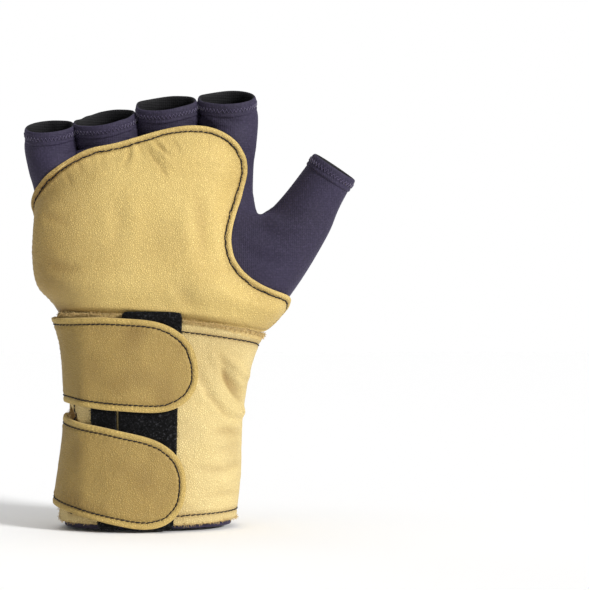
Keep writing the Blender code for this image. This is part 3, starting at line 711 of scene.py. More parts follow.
def seam_line(obj, inset, keep=None):
    """A line that far in from a rim of the piece, whole or where keep says so."""
    mesh = obj.data
    rim = read_points(mesh)[rim_loops(mesh)[0]]
    rim = soften(even_steps(rim, LINE_STEP, True), 6, True)
    tree = surface_tree(mesh)
    out = np.array([tree.find_nearest(Vector(place))[1] for place in rim])
    out = soften(out, 12, True)
    along = np.roll(rim, -1, 0) - np.roll(rim, 1, 0)
    inward = np.cross(out, along)
    inward /= np.linalg.norm(inward, axis=1)[:, None]
    moved = seat(tree, rim + inward * inset, True).places
    away, _ = nearest(moved, rim, 3 * inset)
    good = away > SNIP * inset
    if keep is not None:
        good &= keep(moved)
    moved, closed = moved[good], keep is None
    if not closed:
        hops = np.linalg.norm(moved - np.roll(moved, 1, 0), axis=1)
        moved = np.roll(moved, -int(hops.argmax()), 0)
    line = soften(even_steps(moved, LINE_STEP, closed), 8, closed)
    return seat(tree, line, closed)


Sewing = namedtuple("Sewing", "spacing groove width pucker gather gather_length")


def sew(mesh, line, sewing, seed=0.0):
    """Draws the surface in along a seam and raises the puckers and gathers beside it."""
    reach = max(3 * sewing.width, 2.2 * sewing.gather_length)
    away, number = nearest(read_points(mesh), line.places, reach)
    steps = np.linalg.norm(np.diff(line.places, axis=0), axis=1)
    along = np.r_[0, np.cumsum(steps)][number]
    beat = np.cos(2 * np.pi * along / sewing.spacing)
    change = -sewing.groove * np.exp(-((away / sewing.width) ** 2)) * (0.85 + 0.15 * beat)
    side = np.exp(-(((away - 2.0 * sewing.width) / (1.3 * sewing.width)) ** 2))
    change += sewing.pucker * side * (0.5 + 0.5 * beat)
    fold = [noise.noise(Vector((s / (5.5 * MM), seed, 0.3))) for s in along]
    finer = [noise.noise(Vector((s / (2.6 * MM), seed, 5.1))) for s in along]
    gather = np.array(fold) + 0.45 * np.array(finer)
    start = 1 - np.exp(-((away / (1.2 * sewing.width)) ** 2))
    change += sewing.gather * gather * start * np.exp(-away / sewing.gather_length)
    push_out(mesh, change * side_mask(mesh))


def sew_round(obj, inset, sewing, seed=0.0, keep=None):
    """Sews a piece along a line in from its rim, and returns the line as it then lies."""
    line = seam_line(obj, inset, keep)
    sew(obj.data, line, sewing, seed)
    return seat(surface_tree(obj.data), line.places, line.closed)


def painted_shade_near(points, line, width, reach):
    """Painted shade beside a line, as in a seam's groove, from 1 on it down to 0 past its width."""
    away, _ = nearest(points, line.places, reach)
    return np.exp(-((away / width) ** 2))


def blotches(points, size, seed):
    """Soft patches of dirt, from 0 to 1."""
    return np.clip(ripple(points, size, seed), 0, 1)


PAD_CREASES = [
    *creases(
        "palm",
        # gathers that run down from the seam under the fingers
        (1.3, -0.4, (66, 170), (69, 178), (75, 190)),
        (1.2, -0.35, (78, 161), (81, 169), (86, 178)),
        (1.3, -0.35, (102, 152), (103, 162), (105, 174)),
        (1.4, 0.55, (134, 143), (135, 154), (132, 174)),
        (1.1, -0.55, (130, 144), (130, 156), (127, 170)),
        (1.1, -0.5, (137, 143), (140, 151), (145, 159)),
        (1.0, -0.75, (144, 147), (152, 159), (161, 171), (168, 183)),
        (1.2, 0.65, (148, 144), (156, 154), (165, 163), (172, 172)),
        (0.9, -0.65, (152, 142), (161, 152), (169, 160)),
        (1.1, 0.5, (157, 141), (164, 149), (171, 156)),
        (0.9, -0.5, (157, 156), (167, 168), (175, 177)),
        (1.0, -0.35, (170, 141), (176, 149), (180, 158)),
        (1.2, -0.3, (205, 137), (207, 147), (208, 158)),
        # the hand's own bend and the ball of the thumb
        (4.2, -0.75, (196, 196), (200, 222), (203, 246), (206, 262)),
        (4.0, 0.7, (214, 216), (214, 240), (215, 262), (219, 276)),
        (3.6, -0.5, (176, 284), (186, 298), (196, 312)),
        (3.4, -0.45, (116, 200), (120, 226), (118, 252)),
        (3.4, 0.45, (132, 190), (136, 220), (134, 250)),
        (1.6, -0.35, (218, 252), (222, 262), (226, 270)),
        (1.2, -0.3, (212, 262), (219, 268), (228, 272)),
        # drawn in from the little finger's side
        (2.6, -0.4, (44, 214), (56, 220), (72, 224)),
        (3.0, -0.45, (48, 262), (64, 268), (84, 270)),
    ),
]

# The heel's edge in the photo's pixels. It has no seam of its own and ends behind the cuff's top.
HEEL_LINE = ((45, 314), (127, 315.4), (183, 320), (237, 327.4), (270, 334))
HEEL_FREE = 5.5 * MM  # the seam stops this far above it
HEEL_PUFF = 2.5 * MM  # how far it swells, just above the cuff
HEEL_TUCK = 0.45 * MM  # how far its edge turns in
HEEL_ACROSS = np.array((-47, -30, 24, 52)) * MM  # the swelling comes in and goes out again


def above_heel_line(places):
    """How far each place is above the heel's edge."""
    across, up = np.array([photo_place(pixel) for pixel in HEEL_LINE]).T
    return places[:, 2] - np.interp(places[:, 0], across, up)


def above_heel(places):
    return above_heel_line(places) > HEEL_FREE


def tuck_heel(mesh):
    """Lets the pad swell right down to the cuff, where it turns in."""
    points, ways = read_points(mesh), read_points(mesh, "normal")
    up = above_heel_line(points)
    swell = ease(up, 0.2 * MM, 5 * MM) * np.exp(-np.clip(up - 5 * MM, 0, 1) / (9 * MM))
    swell *= hump(points[:, 0], *HEEL_ACROSS)
    change = HEEL_PUFF * swell - HEEL_TUCK * (1 - ease(up, 0.8 * MM, 2.5 * MM))
    push_out(mesh, change * (side_mask(mesh) * (ways[:, 1] < 0)))


SIDE_DRAW = 7.5 * MM  # the edge comes round by this much at most
SIDE_UP = np.array((108, 122, 138, 162)) * MM  # the draw comes in and goes out again


def draw_side(mesh):
    """Brings the pad's edge at the little finger's side round towards the front."""
    points, ways = read_points(mesh), read_points(mesh, "normal")
    outside = np.flatnonzero(side_mask(mesh))
    tree = surface_tree(mesh)
    amount = SIDE_DRAW * ease(points[:, 1], -19 * MM, -2 * MM) * (points[:, 0] < -20 * MM)
    amount *= hump(points[:, 2], *SIDE_UP)
    moves = np.zeros_like(points)
    for k in outside[amount[outside] > 0]:
        way = Vector((ways[k][1], -ways[k][0], 0)).normalized()
        way *= -1 if way.y > 0 else 1
        start = Vector(points[k])
        moves[k] = tree.find_nearest(start + way * amount[k])[0] - start
    number = nearest(points, points[outside], 6 * MM)[1]
    write_points(mesh, points + moves[outside[number]])


leather = grain_leather("grain leather", LEATHER_LIT, LEATHER_MID, LEATHER_DIRT_AND_SHADE)
raw_edge = raw_leather("raw leather edge", "#e2cd92", "#94702f")
suede = raw_leather("leather flesh side", "#b59a68", "#7d6338")
pad = soft_copy("palm_pad", "leather_palm", PAD_LEVELS, 0.6)
draw_side(pad.data)
tuck_heel(pad.data)
pad_change = press_creases(pad.data, PAD_CREASES)
pad_sewing = Sewing(PAD_STEP, 0.8 * MM, 0.75 * MM, 0.22 * MM, 0.30 * MM, 4 * MM)
pad_seam = sew_round(pad, PAD_SEAM, pad_sewing, keep=above_heel)
pad_points = read_points(pad.data)
# Painted shade in the seam's groove and the creases' valleys, over patches of real dirt
dirt_and_shade = painted_shade_near(pad_points, pad_seam, 1.3 * MM, 8 * MM) * 0.45
dirt_and_shade += np.clip(-pad_change / MM, 0, 1) * 0.35
dirt_and_shade += blotches(pad_points, 26 * MM, 2.0) * 0.25
# painted shade, darker towards the little finger's side
dirt_and_shade += (1 - ease(pad_points[:, 0], -52 * MM, -8 * MM)) * 0.5
# painted shade, darker towards the heel's edge above the cuff
dirt_and_shade += (1 - ease(above_heel_line(pad_points), 0.5 * MM, 7 * MM)) * 0.4
set_shade(pad.data, "dirt_and_shade", dirt_and_shade)
give_materials(pad, leather, raw_edge, suede)
hand_in(pad, "palm_pad")


# Stitching of the palm and the hems
# Bonded nylon thread, dark plum on the leather and finer and paler on the hems. Each stitch on
# the leather is a short twist of thread that dips into its two holes.
THREAD = 0.62 * MM
STITCH_SINK = 0.35  # share of the thread's thickness that a stitch's ends dip
STITCH_SLANT = 0.10
THREAD_SIDES = 6
STITCH_LENGTH = 2.3 * MM


def plain_material(name, looks):
    """A material of one colour."""
    material, tree, _ = start_material(name)
    finish_material(tree, looks)
    return material


thread_looks = {"Base Color": linear("#110b10"), "Roughness": 0.55, "Specular IOR Level": 0.3}
thread_material = plain_material("bonded thread", thread_looks)


def start_tree(name, sizes):
    """A Geometry Nodes tree with a geometry input and output and a named input for each size."""
    tree = bpy.data.node_groups.new(name, "GeometryNodeTree")
    tree.interface.new_socket("Geometry", in_out="INPUT", socket_type="NodeSocketGeometry")
    for size, kind in sizes.items():
        tree.interface.new_socket(size, in_out="INPUT", socket_type="NodeSocket" + kind)
    tree.interface.new_socket("Geometry", in_out="OUTPUT", socket_type="NodeSocketGeometry")
    return tree, add_node(tree, "NodeGroupInput", {}).outputs


def finish_tree(tree, geometry, material):
    """Ends a tree in real faces of one material."""
    real = add_node(tree, "GeometryNodeRealizeInstances", {"Geometry": geometry})
    made = add_node(
        tree, "GeometryNodeSetMaterial", {"Geometry": real.outputs[0], "Material": material}
    )
    add_node(tree, "NodeGroupOutput", {"Geometry": made.outputs[0]})


def run_tree(obj, tree, values):
    """Runs a tree on the object with a value for each named input, and keeps the result."""
    modifier = obj.modifiers.new(tree.name, "NODES")
    modifier.node_group = tree
    for item in tree.interface.items_tree:
        if item.in_out == "INPUT" and item.name in values:
            modifier[item.identifier] = values[item.name]
    return keep_modified(obj)


def line_object(name, lines):
    """A piece of bare edges along the lines, with the way out of the surface at each place."""
    places, ways, edges = [], [], []
    for line in lines:
        first, count = len(places), len(line.places)
        places.extend(map(tuple, line.places))
        ways.extend(line.ways)
        last = count if line.closed else count - 1
        edges.extend((first + k, first + (k + 1) % count) for k in range(last))
    mesh = bpy.data.meshes.new(name)
    mesh.from_pydata(places, edges, [])
    kept = mesh.attributes.new("way_out", "FLOAT_VECTOR", "POINT")
    kept.data.foreach_set("vector", np.array(ways, np.float32).ravel())
    return new_object(name, mesh)


def along_line(tree, given, spacing):
    """Points a spacing apart on the lines, and a turn that lays X along and Z out of the surface."""
    curve = add_node(tree, "GeometryNodeMeshToCurve", {"Mesh": given["Geometry"]})
    spaced = add_node(
        tree,
        "GeometryNodeResampleCurve",
        {"Curve": curve.outputs[0], "Length": spacing},
        mode="LENGTH",
    )
    tangent = add_node(tree, "GeometryNodeInputTangent", {})
    way = add_node(
        tree, "GeometryNodeInputNamedAttribute", {"Name": "way_out"}, data_type="FLOAT_VECTOR"
    )
    lay = add_node(
        tree, "FunctionNodeAlignRotationToVector", {"Vector": tangent.outputs[0]}, axis="X"
    )
    stand = add_node(
        tree,
        "FunctionNodeAlignRotationToVector",
        {"Rotation": lay.outputs[0], "Vector": way.outputs[0]},
        axis="Z",
        pivot_axis="X",
    )
    return spaced.outputs[0], stand.outputs[0]


def times(tree, value, by):
    return add_node(tree, "ShaderNodeMath", {0: value, 1: by}, operation="MULTIPLY").outputs[0]


def place_at(tree, **axes):
    return add_node(tree, "ShaderNodeCombineXYZ", axes).outputs[0]


def bow(tree, steps, start, middle, end):
    """A curve from start to end, drawn towards the middle."""
    inputs = {"Resolution": steps, "Start": start, "Middle": middle, "End": end}
    return add_node(tree, "GeometryNodeCurveQuadraticBezier", inputs).outputs[0]


def round_thread(tree, curve, radius, sides, caps=False):
    """A round thread along the curve."""
    inputs = {"Resolution": sides, "Radius": radius}
    ring = add_node(tree, "GeometryNodeCurvePrimitiveCircle", inputs).outputs[0]
    inputs = {"Curve": curve, "Profile Curve": ring, "Fill Caps": caps}
    return add_node(tree, "GeometryNodeCurveToMesh", inputs).outputs[0]


def shade_smooth(tree, geometry):
    return add_node(tree, "GeometryNodeSetShadeSmooth", {"Geometry": geometry}).outputs[0]


def turn_more(tree, turn, by):
    """The turn with another one before it."""
    inputs = {"Rotation": turn, "Rotate By": by}
    node = add_node(tree, "FunctionNodeRotateRotation", inputs, rotation_space="LOCAL")
    return node.outputs[0]


def stand_on(tree, points, shape, turn, **more):
    """The shape on every point, turned."""
    inputs = {"Points": points, "Instance": shape, "Rotation": turn, **more}
    return add_node(tree, "GeometryNodeInstanceOnPoints", inputs).outputs[0]


def stitch_tree():
    """A stitch at each step of the lines, a little slanted."""
    sizes = {"Spacing": "Float", "Length": "Float", "Thread": "Float", "Slant": "Float"}
    tree, given = start_tree("stitches", sizes)
    points, turn = along_line(tree, given, given["Spacing"])
    slanted = turn_more(tree, turn, place_at(tree, Z=given["Slant"]))
    sink = times(tree, given["Thread"], -STITCH_SINK)
    start = place_at(tree, X=times(tree, given["Length"], -0.5), Z=sink)
    top = place_at(tree, Z=times(tree, given["Thread"], 1 + STITCH_SINK))
    end = place_at(tree, X=times(tree, given["Length"], 0.5), Z=sink)
    curve = bow(tree, 6, start, top, end)
    stitch = round_thread(tree, curve, times(tree, given["Thread"], 0.5), THREAD_SIDES, True)
    placed = stand_on(tree, points, shade_smooth(tree, stitch), slanted)
    finish_tree(tree, placed, thread_material)
    return tree


stitches = stitch_tree()


def add_stitches(name, line, spacing, length):
    """A row of stitches in leather along the line, as one piece."""
    obj = line_object(name, [line])
    sizes = {"Spacing": spacing, "Length": length, "Thread": THREAD, "Slant": STITCH_SLANT}
    run_tree(obj, stitches, sizes)
    hand_in(obj, None)


def thread_tree():
    """A round thread that follows the lines."""
    tree, given = start_tree("thread", {"Thread": "Float"})
    curve = add_node(tree, "GeometryNodeMeshToCurve", {"Mesh": given["Geometry"]}).outputs[0]
    cord = round_thread(tree, curve, times(tree, given["Thread"], 0.5), THREAD_SIDES, True)
    finish_tree(tree, shade_smooth(tree, cord), hem_thread)
    return tree


hem_looks = {"Base Color": linear("#4b4160"), "Roughness": 0.55, "Sheen Weight": 0.2}
hem_thread = plain_material("hem thread", hem_looks)
zigzags = line_object("hem_stitches", hem_zigzags)
run_tree(zigzags, thread_tree(), {"Thread": HEM_THREAD})
hand_in(zigzags, None)
add_stitches("palm_stitches", pad_seam, PAD_STEP, STITCH_LENGTH)


# Cuff
# One band of the same leather round the wrist, its ends lapped under the straps. Its top and
# bottom are cut raw over the lining, and the wrist's bend has set folds into the thumb side.
CUFF_LEVELS = 3
CUFF_SEAM = 4.3 * MM
CUFF_STEP = 2.7 * MM
CUFF_LIT = "#dfcb92"
CUFF_MID = "#d6bf80"

# Where the band turns in beside its lap, between the straps. The gap there is also painted dark, as
# its shadow
LAP_CREASE = Crease("palm", 1.5, -1.3, ((66, 392), (69, 401), (75, 413), (80, 424)))
CUFF_CREASES = [
    *creases(
        "palm",
        (2.9, -2.0, (220, 365), (225, 378), (232, 389), (242, 400)),
        (1.7, 1.2, (217, 366), (221, 380), (229, 394), (240, 406)),
        (2.2, 1.7, (226, 358), (237, 369), (250, 377)),
        (1.1, -0.8, (214, 349), (223, 360), (234, 371), (246, 381)),
        (1.2, -0.8, (229, 376), (237, 387), (247, 393)),
        (1.2, 0.6, (209, 352), (214, 362), (218, 372)),
        (2.4, 1.5, (226, 410), (236, 411), (248, 411)),
        (1.6, -0.9, (206, 390), (216, 402), (228, 414), (244, 419)),
        (2.0, -0.6, (196, 366), (203, 382), (211, 398)),
        (2.2, -0.8, (212, 430), (226, 428), (244, 433)),
        (2.2, 0.7, (200, 444), (220, 441), (246, 444)),
        (2.2, -0.6, (192, 462), (216, 466), (244, 460)),
        (2.2, 0.5, (204, 474), (222, 478), (244, 474)),
        (2.0, -0.5, (198, 492), (220, 489), (242, 492)),
    ),
    LAP_CREASE,
    *creases(
        "back",
        (3.0, -0.9, (250, 372), (228, 380), (200, 384), (168, 384)),
        (3.0, 1.0, (248, 386), (222, 394), (190, 398)),
        (3.0, -0.9, (246, 402), (220, 408), (186, 410), (150, 406)),
        (3.0, 0.8, (62, 366), (92, 376), (126, 378)),
        (2.8, -0.8, (60, 382), (90, 392), (126, 394), (160, 392)),
        (3.0, -0.6, (66, 430), (100, 436), (150, 436), (190, 430)),
        (3.0, 0.6, (80, 448), (120, 452), (170, 450)),
        (3.0, -0.5, (64, 470), (100, 474), (150, 472), (220, 466)),
    ),
]

cuff = soft_copy("cuff", "leather_cuff", CUFF_LEVELS, 0.6)
cuff_change = press_creases(cuff.data, CUFF_CREASES)
cuff_rim = read_points(cuff.data)[rim_loops(cuff.data)[0]]
cuff_sewing = Sewing(CUFF_STEP, 0.55 * MM, 0.8 * MM, 0.18 * MM, 0.30 * MM, 5 * MM)
cuff_seam = sew_round(cuff, CUFF_SEAM, cuff_sewing, 3.0)
cuff_points = read_points(cuff.data)
# Painted shade in the seam's groove and the folds' valleys, over patches of real dirt
cuff_dirt_and_shade = painted_shade_near(cuff_points, cuff_seam, 1.4 * MM, 6 * MM) * 0.5
cuff_dirt_and_shade += np.clip(-cuff_change / MM, 0, 1.5) * 0.4
cuff_dirt_and_shade += blotches(cuff_points, 24 * MM, 4.0) * 0.5
# a painted shadow in the gap beside the lap, under the straps
lap_path = crease_path(surface_tree(cuff.data), LAP_CREASE)
lap_away, _ = nearest(cuff_points, lap_path, 5 * MM)
cuff_dirt_and_shade += 2 * np.exp(-((lap_away / (2.2 * MM)) ** 4))
set_shade(cuff.data, "dirt_and_shade", cuff_dirt_and_shade)
cuff_leather = grain_leather("cuff leather", CUFF_LIT, CUFF_MID, LEATHER_DIRT_AND_SHADE)
give_materials(cuff, cuff_leather, raw_edge, suede)
hand_in(cuff, "cuff")
add_stitches("cuff_stitches", cuff_seam, CUFF_STEP, STITCH_LENGTH)


# Facing
# A strip of leather with raw edges. It stands above the cuff's top edge against the palm's
# heel, uneven as cut leather is, and lies flat and taller behind the wide tape.
# Its section: out from the cuff's outside and up from its edge, in mm
FACING_SECTION = (
    (-1.0, -2.6), (-0.35, -2.2), (-0.1, -0.5), (0.3, 0.25), (0.8, 0.85), (0.9, 1.25), (0.6, 1.45),
    (0.05, 1.2), (-0.45, 0.4), (-1.1, -1.2),
)
TAPE_SPAN = np.array((-24, -22, 16.5, 18.5)) * MM  # where it lies flat, across
TOP_SHARE = 0.6  # the edge counts as top from this share of the way up


def top_edge(rim):
    """The part of the cuff's rim that runs round its top, from end to end."""
    rim = even_steps(rim, LINE_STEP * 2, True)
    middle = (rim[:, 2].max() + rim[:, 2].min()) / 2
    high = rim[:, 2] > middle + TOP_SHARE * (rim[:, 2].max() - middle)
    first = int(np.flatnonzero(~high & np.roll(high, -1))[0]) + 1
    return np.roll(rim, -first, 0)[np.roll(high, -first)]


def facing_rings(edge, tree, section, seed):
    """Rings of the section along the cuff's edge, a little uneven as cut leather is."""
    out = np.array([tree.find_nearest(Vector(place))[1] for place in edge])
    out[:, 2] = 0
    out = soften(out / np.linalg.norm(out, axis=1)[:, None], 20, False)
    uneven = ripple(edge, 4 * MM, seed) * 0.22 + ripple(edge, 1.3 * MM, seed + 1) * 0.12
    behind = hump(edge[:, 0], *TAPE_SPAN) * (edge[:, 1] < 0)
    rings = []
    for place, way, change, flat in zip(edge, out, uneven, behind):
        ring = []
        for u, v in section:
            lift = v + (v > 0) * (change + 1.2 * flat * v)
            ring.append(place + (way * u * (1 - 0.8 * flat) + np.array((0, 0, lift))) * MM)
        rings.append(ring)
    return rings


cuff_tree = surface_tree(cuff.data)
cuff_top = soften(top_edge(cuff_rim), 8, False)
rings = np.array(facing_rings(cuff_top, cuff_tree, FACING_SECTION, 5.0))
facing = refine(sweep("cuff_facing", rings, False, True), 1)
give_materials(facing, raw_edge)
hand_in(facing, None)

# Frayed edges
# Curled leather fibres, raised along the facing's top and round the cuff's cut edge.
FRAY_SPACING = 0.22 * MM
FRAY_LENGTH = 1.1 * MM
FRAY_RADIUS = 0.08 * MM
FINE_SIDES = 3  # of a fibre, or of a loop on the tapes


def random_turn(tree, low, high, seed):
    """A turn drawn at random for each point."""
    inputs = {"Min": low, "Max": high, "Seed": seed}
    return add_node(tree, "FunctionNodeRandomValue", inputs, data_type="FLOAT_VECTOR").outputs[0]


def grow(tree, place, size):
    """The place, that many times as far out."""
    inputs = {0: place, "Scale": size}
    return add_node(tree, "ShaderNodeVectorMath", inputs, operation="SCALE").outputs[0]


def fibre_tree():
    """Short curled fibres along the lines, standing out every way."""
    sizes = {"Spacing": "Float", "Length": "Float", "Radius": "Float", "Seed": "Int"}
    tree, given = start_tree("fibres", sizes)
    points, turn = along_line(tree, given, given["Spacing"])
    spin = random_turn(tree, (-1.3, -0.9, -3.1), (1.3, 0.9, 3.1), given["Seed"])
    middle = grow(tree, (0.35, 0.1, 0.75), given["Length"])
    tip = grow(tree, (0.9, -0.2, 0.9), given["Length"])
    arc = bow(tree, 3, (0, 0, 0), middle, tip)
    hair = round_thread(tree, arc, given["Radius"], FINE_SIDES)
    size = add_node(tree, "FunctionNodeRandomValue", {2: 0.4, 3: 1.2, "Seed": given["Seed"]})
    turned = turn_more(tree, turn, spin)
    placed = stand_on(tree, points, hair, turned, Scale=size.outputs[1])
    finish_tree(tree, placed, fibre_material)
    return tree


fibre_material = raw_leather("leather fibres", "#f0dfab", "#b98f48")
way_out = rings[:, 4] - rings[:, 7]
way_out /= np.linalg.norm(way_out, axis=1)[:, None]
raw_lines = [Line(rings[:, k], way_out, False) for k in (4, 5, 6)]
cuff_edge = soften(even_steps(cuff_rim, LINE_STEP, True), 3, True)
raw_lines.append(seat(cuff_tree, cuff_edge, True))
fray = line_object("cuff_fray", raw_lines)
fray_sizes = {"Spacing": FRAY_SPACING, "Length": FRAY_LENGTH, "Radius": FRAY_RADIUS, "Seed": 3}
run_tree(fray, fibre_tree(), fray_sizes)
hand_in(fray, None)


# Loop tapes
# Two nylon tapes woven with upright loops, sewn down the front of the cuff for the straps'
# hooks to catch. The loops are drawn about 1 mm tall, fewer and thicker than real ones.
TAPE_LEVELS = 2
PILE_TALL = 1.0 * MM
PILE_RADIUS = 0.08 * MM
PILE_DENSITY = 1.7e6  # loops to a square metre
PILE_FOOT = 0.32  # half a loop's width at its feet, as a share of its height
PILE_PEAK = 1.9  # where the loop is drawn to, and it reaches half as high

pile_material, pile_nodes, pile_place = start_material("loop pile")
# grey specks painted into the colour as glints on the loops
pile_glint = remap(pile_nodes, add_noise(pile_nodes, pile_place, 0.9 * MM, Detail=2.0), 0.55, 0.72)
pile_looks = {
    "Base Color": mix_colours(pile_nodes, pile_glint, "#040405", "#3c3c40"),
    "Roughness": 0.6,
    "Specular IOR Level": 0.15,
}
finish_material(pile_nodes, pile_looks)


def pile_tree():
    """Small loops scattered over the outside of a tape."""
    tree, given = start_tree("loops", {"Tall": "Float", "Radius": "Float", "Density": "Float"})
    side = add_node(tree, "GeometryNodeInputMaterialIndex", {})
    outside = add_node(
        tree,
        "FunctionNodeCompare",
        {"A_INT": side.outputs[0], "B_INT": OUTSIDE},
        data_type="INT",
        operation="EQUAL",
    )
    roots = add_node(
        tree,
        "GeometryNodeDistributePointsOnFaces",
        {
            "Mesh": given["Geometry"],
            "Selection": outside.outputs[0],
            "Density": given["Density"],
            "Seed": 11,
        },
    )
    spin = random_turn(tree, (-0.5, -0.5, 0.0), (0.5, 0.5, 6.28), 5)
    start = place_at(tree, X=times(tree, given["Tall"], PILE_FOOT))
    top = place_at(tree, Z=times(tree, given["Tall"], PILE_PEAK))
    end = place_at(tree, X=times(tree, given["Tall"], -PILE_FOOT))
    loop = round_thread(tree, bow(tree, 4, start, top, end), given["Radius"], FINE_SIDES)
    size = add_node(tree, "FunctionNodeRandomValue", {2: 0.6, 3: 1.15, "Seed": 9})
    turned = turn_more(tree, roots.outputs["Rotation"], spin)
    placed = stand_on(tree, roots.outputs["Points"], loop, turned, Scale=size.outputs[1])
    finish_tree(tree, placed, pile_material)
    return tree


def cuff_depth(tree, across, up):
    """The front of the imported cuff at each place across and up."""
    depth = []
    for x, z in zip(across, up):
        found = tree.ray_cast(Vector((x, -0.2, z)), Vector((0, 1, 0)))[0]
        depth.append(found.y if found else 0)
    return np.array(depth)


# Edges of the tapes seen from the palm: up, the narrow tape's outer edge, the wide tape's edge
TAPE_EDGES = MM * np.array(
    ((6, -24.7, 13.2), (41, -26.6, 15.2), (64, -27.4, 16.0), (106, -27.4, 17.9))
)
TAPE_RISE = 1.2 * MM
TAPE_LEAN = 0.9 * MM  # its top stands out by this much
TAPE_TOP = (98 * MM, 107 * MM)
CUFF_UP = (8 * MM, 100 * MM)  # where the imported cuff's front is looked up

cuff_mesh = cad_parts["cuff"].data
packed_cuff = BVHTree.FromPolygons(
    [v.co.copy() for v in cuff_mesh.vertices], [tuple(f.vertices) for f in cuff_mesh.polygons]
)
tape_low, tape_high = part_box("loop_tape_narrow")[0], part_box("loop_tape_wide")[1]


def shape_tape(mesh):
    """Draws the tapes together towards the wrist and lifts their tops over the palm's heel."""
    points = read_points(mesh)
    share = (points[:, 0] - tape_low.x) / (tape_high.x - tape_low.x)
    left = np.interp(points[:, 2], TAPE_EDGES[:, 0], TAPE_EDGES[:, 1])
    right = np.interp(points[:, 2], TAPE_EDGES[:, 0], TAPE_EDGES[:, 2])
    across = left + (right - left) * share
    up = np.clip(points[:, 2], *CUFF_UP)
    depth = cuff_depth(packed_cuff, across, up) - cuff_depth(packed_cuff, points[:, 0], up)
    top = ease(points[:, 2], *TAPE_TOP)
    points[:, 0] = across
    points[:, 1] += depth - TAPE_LEAN * top
    points[:, 2] += TAPE_RISE * top
    write_points(mesh, points)


loops = pile_tree()
for width in ("wide", "narrow"):
    tape = soft_copy("loop_tape_" + width, "tape_" + width, TAPE_LEVELS, 0.6)
    shape_tape(tape.data)
    give_materials(tape, pile_material, pile_material, pile_material)
    pile = new_object("tape_loops_" + width, tape.data.copy())
    run_tree(pile, loops, {"Tall": PILE_TALL, "Radius": PILE_RADIUS, "Density": PILE_DENSITY})
    hand_in(tape, "loop_tape_" + width)
    hand_in(pile, None)


# Straps
# Two leather straps from the little finger's side, each with a round end and one line of
# stitches all round that holds the hooks on its back to the tape.
STRAP_LEVELS = 3
STRAP_SEAM = 3.1 * MM
STRAP_STEP = 2.5 * MM
STRAP_STITCH = 2.2 * MM
STRAP_FLARE = (2 * MM, 30 * MM)  # it widens from here to here past its start
STRAP_FALL = 0.07  # its middle line falls by this share of the way along
STRAP_LIFT = 1.5 * MM
RELAX_ROUNDS = 70
RELAX_SHARE = 0.6


def relax_bend(mesh):
    """Spreads out the bend where a strap climbs onto the tape."""
    points = read_points(mesh)
    start = points.copy()
    for side in (OUTSIDE, INSIDE):
        on_side = side_mask(mesh, side)
        ends = np.array([tuple(edge.vertices) for edge in mesh.edges])
        ends = ends[on_side[ends].all(1)]
        count = np.bincount(ends.ravel(), minlength=len(points))
        for _ in range(RELAX_ROUNDS):
            total = np.bincount(ends[:, 0], points[ends[:, 1], 1], len(points))
            total += np.bincount(ends[:, 1], points[ends[:, 0], 1], len(points))
            even = total / np.maximum(count, 1)
            points[:, 1] += RELAX_SHARE * on_side * (count > 0) * (even - points[:, 1])
    moved = np.flatnonzero(side_mask(mesh) | side_mask(mesh, INSIDE))
    number = nearest(start, start[moved], 5 * MM)[1]
    write_points(mesh, start + (points - start)[moved[number]])


def shape_strap(mesh, low, high, swell):
    """Widens a strap towards its round end."""
    points = read_points(mesh)
    share = ease(points[:, 0], low.x + STRAP_FLARE[0], low.x + STRAP_FLARE[1])
    middle = (low.z + high.z) / 2 - (points[:, 0] - low.x) * STRAP_FALL + STRAP_LIFT
    half = (high.z - low.z) / 2
    points[:, 2] += swell * share * np.clip((points[:, 2] - middle) / half, -1, 1)
    write_points(mesh, points)


# its last colour is the dark of the grain, of real dirt and of painted shade
strap_leather = grain_leather("strap leather", "#cdb26b", "#bfa159", "#6d5225")
for level, seed, swell in (("upper", 6.0, 2.0 * MM), ("lower", 8.0, 0.9 * MM)):
    strap = soft_copy("strap_" + level, "leather_strap_" + level, STRAP_LEVELS, 0.6)
    relax_bend(strap.data)
    shape_strap(strap.data, *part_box("strap_" + level), swell)
    wave = ripple(read_points(strap.data), 14 * MM, seed) * 0.45 * MM * side_mask(strap.data)
    push_out(strap.data, np.maximum(wave, -0.15 * MM))
    sewing = Sewing(STRAP_STEP, 0.6 * MM, 0.8 * MM, 0.25 * MM, 0.28 * MM, 4 * MM)
    strap_seam = sew_round(strap, STRAP_SEAM, sewing, seed)
    strap_points = read_points(strap.data)
    strap_rim = even_steps(read_points(strap.data)[rim_loops(strap.data)[0]], LINE_STEP, True)
    rim_away, _ = nearest(strap_points, strap_rim, 8 * MM)
    # painted shade in the seam's groove, darker inside the seam than along the cut edge, over
    # patches of real dirt
    strap_dirt_and_shade = painted_shade_near(strap_points, strap_seam, 0.9 * MM, 5 * MM) * 0.4
    strap_dirt_and_shade += ease(rim_away, STRAP_SEAM, STRAP_SEAM + 1.5 * MM) * 0.42
    strap_dirt_and_shade += blotches(strap_points, 16 * MM, seed) * 0.35
    set_shade(strap.data, "dirt_and_shade", strap_dirt_and_shade)
    give_materials(strap, strap_leather, raw_edge, suede)
    hand_in(strap, "strap_" + level)
    add_stitches("strap_stitches_" + level, strap_seam, STRAP_STEP, STRAP_STITCH)


# Stage
# A pale floor under a white sky, a key light from the front right, a soft one overhead and a
# faint one from behind. The camera is where the photo was taken from, and the glove stands at
# the left of its frame.
CAMERA_AWAY = 1.0
CAMERA_PIXEL = (160, 295)  # pixel straight ahead of the lens
FRAME_PIXELS = (589, 590)
FLOOR_SIZE = 6.0
FLOOR_DROP = 1.5 * MM
SKY_LIGHT = 0.28  # the sky shines this much, and looks white

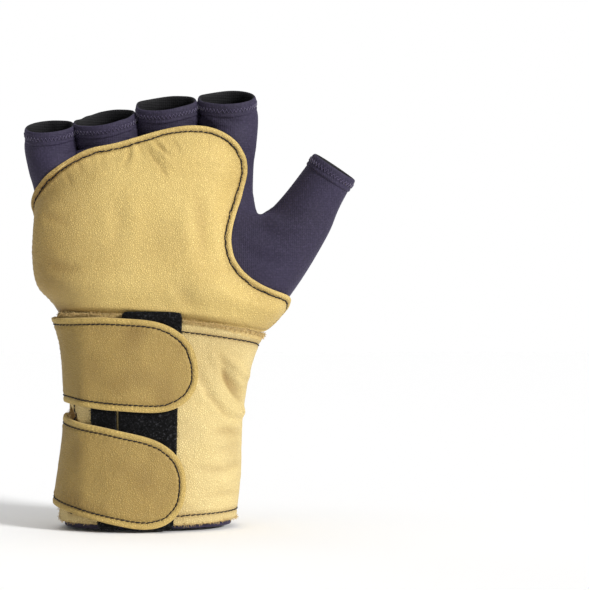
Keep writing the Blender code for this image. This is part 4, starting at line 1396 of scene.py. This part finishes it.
floor_mesh = bpy.data.meshes.new("floor")
floor_bm = bmesh.new()
bmesh.ops.create_grid(floor_bm, x_segments=1, y_segments=1, size=FLOOR_SIZE / 2)
floor_bm.to_mesh(floor_mesh)
floor_bm.free()
floor = new_object("floor", floor_mesh)
floor.location.z = cad_box[0].z - FLOOR_DROP
floor_looks = {"Base Color": linear("#fdfdfd"), "Roughness": 0.9}
floor_material = plain_material("pale paper", floor_looks)
give_materials(floor, floor_material)

world = bpy.data.worlds.new("studio")
world.use_nodes = True
sky = world.node_tree
seen = add_node(sky, "ShaderNodeLightPath", {}).outputs["Is Camera Ray"]
strength = remap(sky, seen, low=SKY_LIGHT)
sky.nodes["Background"].inputs["Color"].default_value = (1, 1, 1, 1)
sky.links.new(strength, sky.nodes["Background"].inputs["Strength"])
bpy.context.scene.world = world
bpy.context.scene.view_settings.view_transform = "Standard"

# Each shines from its place towards the glove, and its softness is an angle in degrees.
Light = namedtuple("Light", "name place soft strength")
LIGHTS = (
    Light("key", (1.0, -0.9, 0.55), 14, 3.6),
    Light("overhead", (0.0, 0.0, 1.0), 60, 1.0),
    Light("rim", (-0.8, 1.0, 0.5), 30, 0.15),
)
for light in LIGHTS:
    data = bpy.data.lights.new(light.name, "SUN")
    data.angle = math.radians(light.soft)
    data.energy = light.strength
    lamp = new_object(light.name, data)
    lamp.location = light.place
    lamp.rotation_euler = Vector(light.place).to_track_quat("Z", "Y").to_euler()

camera_data = bpy.data.cameras.new("camera")
camera = new_object("camera", camera_data)
camera.location = (
    (CAMERA_PIXEL[0] - PHOTO_ORIGIN[0]) * PIXEL,
    -CAMERA_AWAY,
    (PHOTO_ORIGIN[1] - CAMERA_PIXEL[1]) * PIXEL,
)
yaw = math.atan((FRAME_PIXELS[0] / 2 - CAMERA_PIXEL[0]) * PIXEL / CAMERA_AWAY)
camera.rotation_euler = (math.pi / 2, 0, -yaw)
camera_data.sensor_width = 36
camera_data.lens = camera_data.sensor_width / 2 / (FRAME_PIXELS[1] / 2 * PIXEL / CAMERA_AWAY)
bpy.context.scene.camera = camera
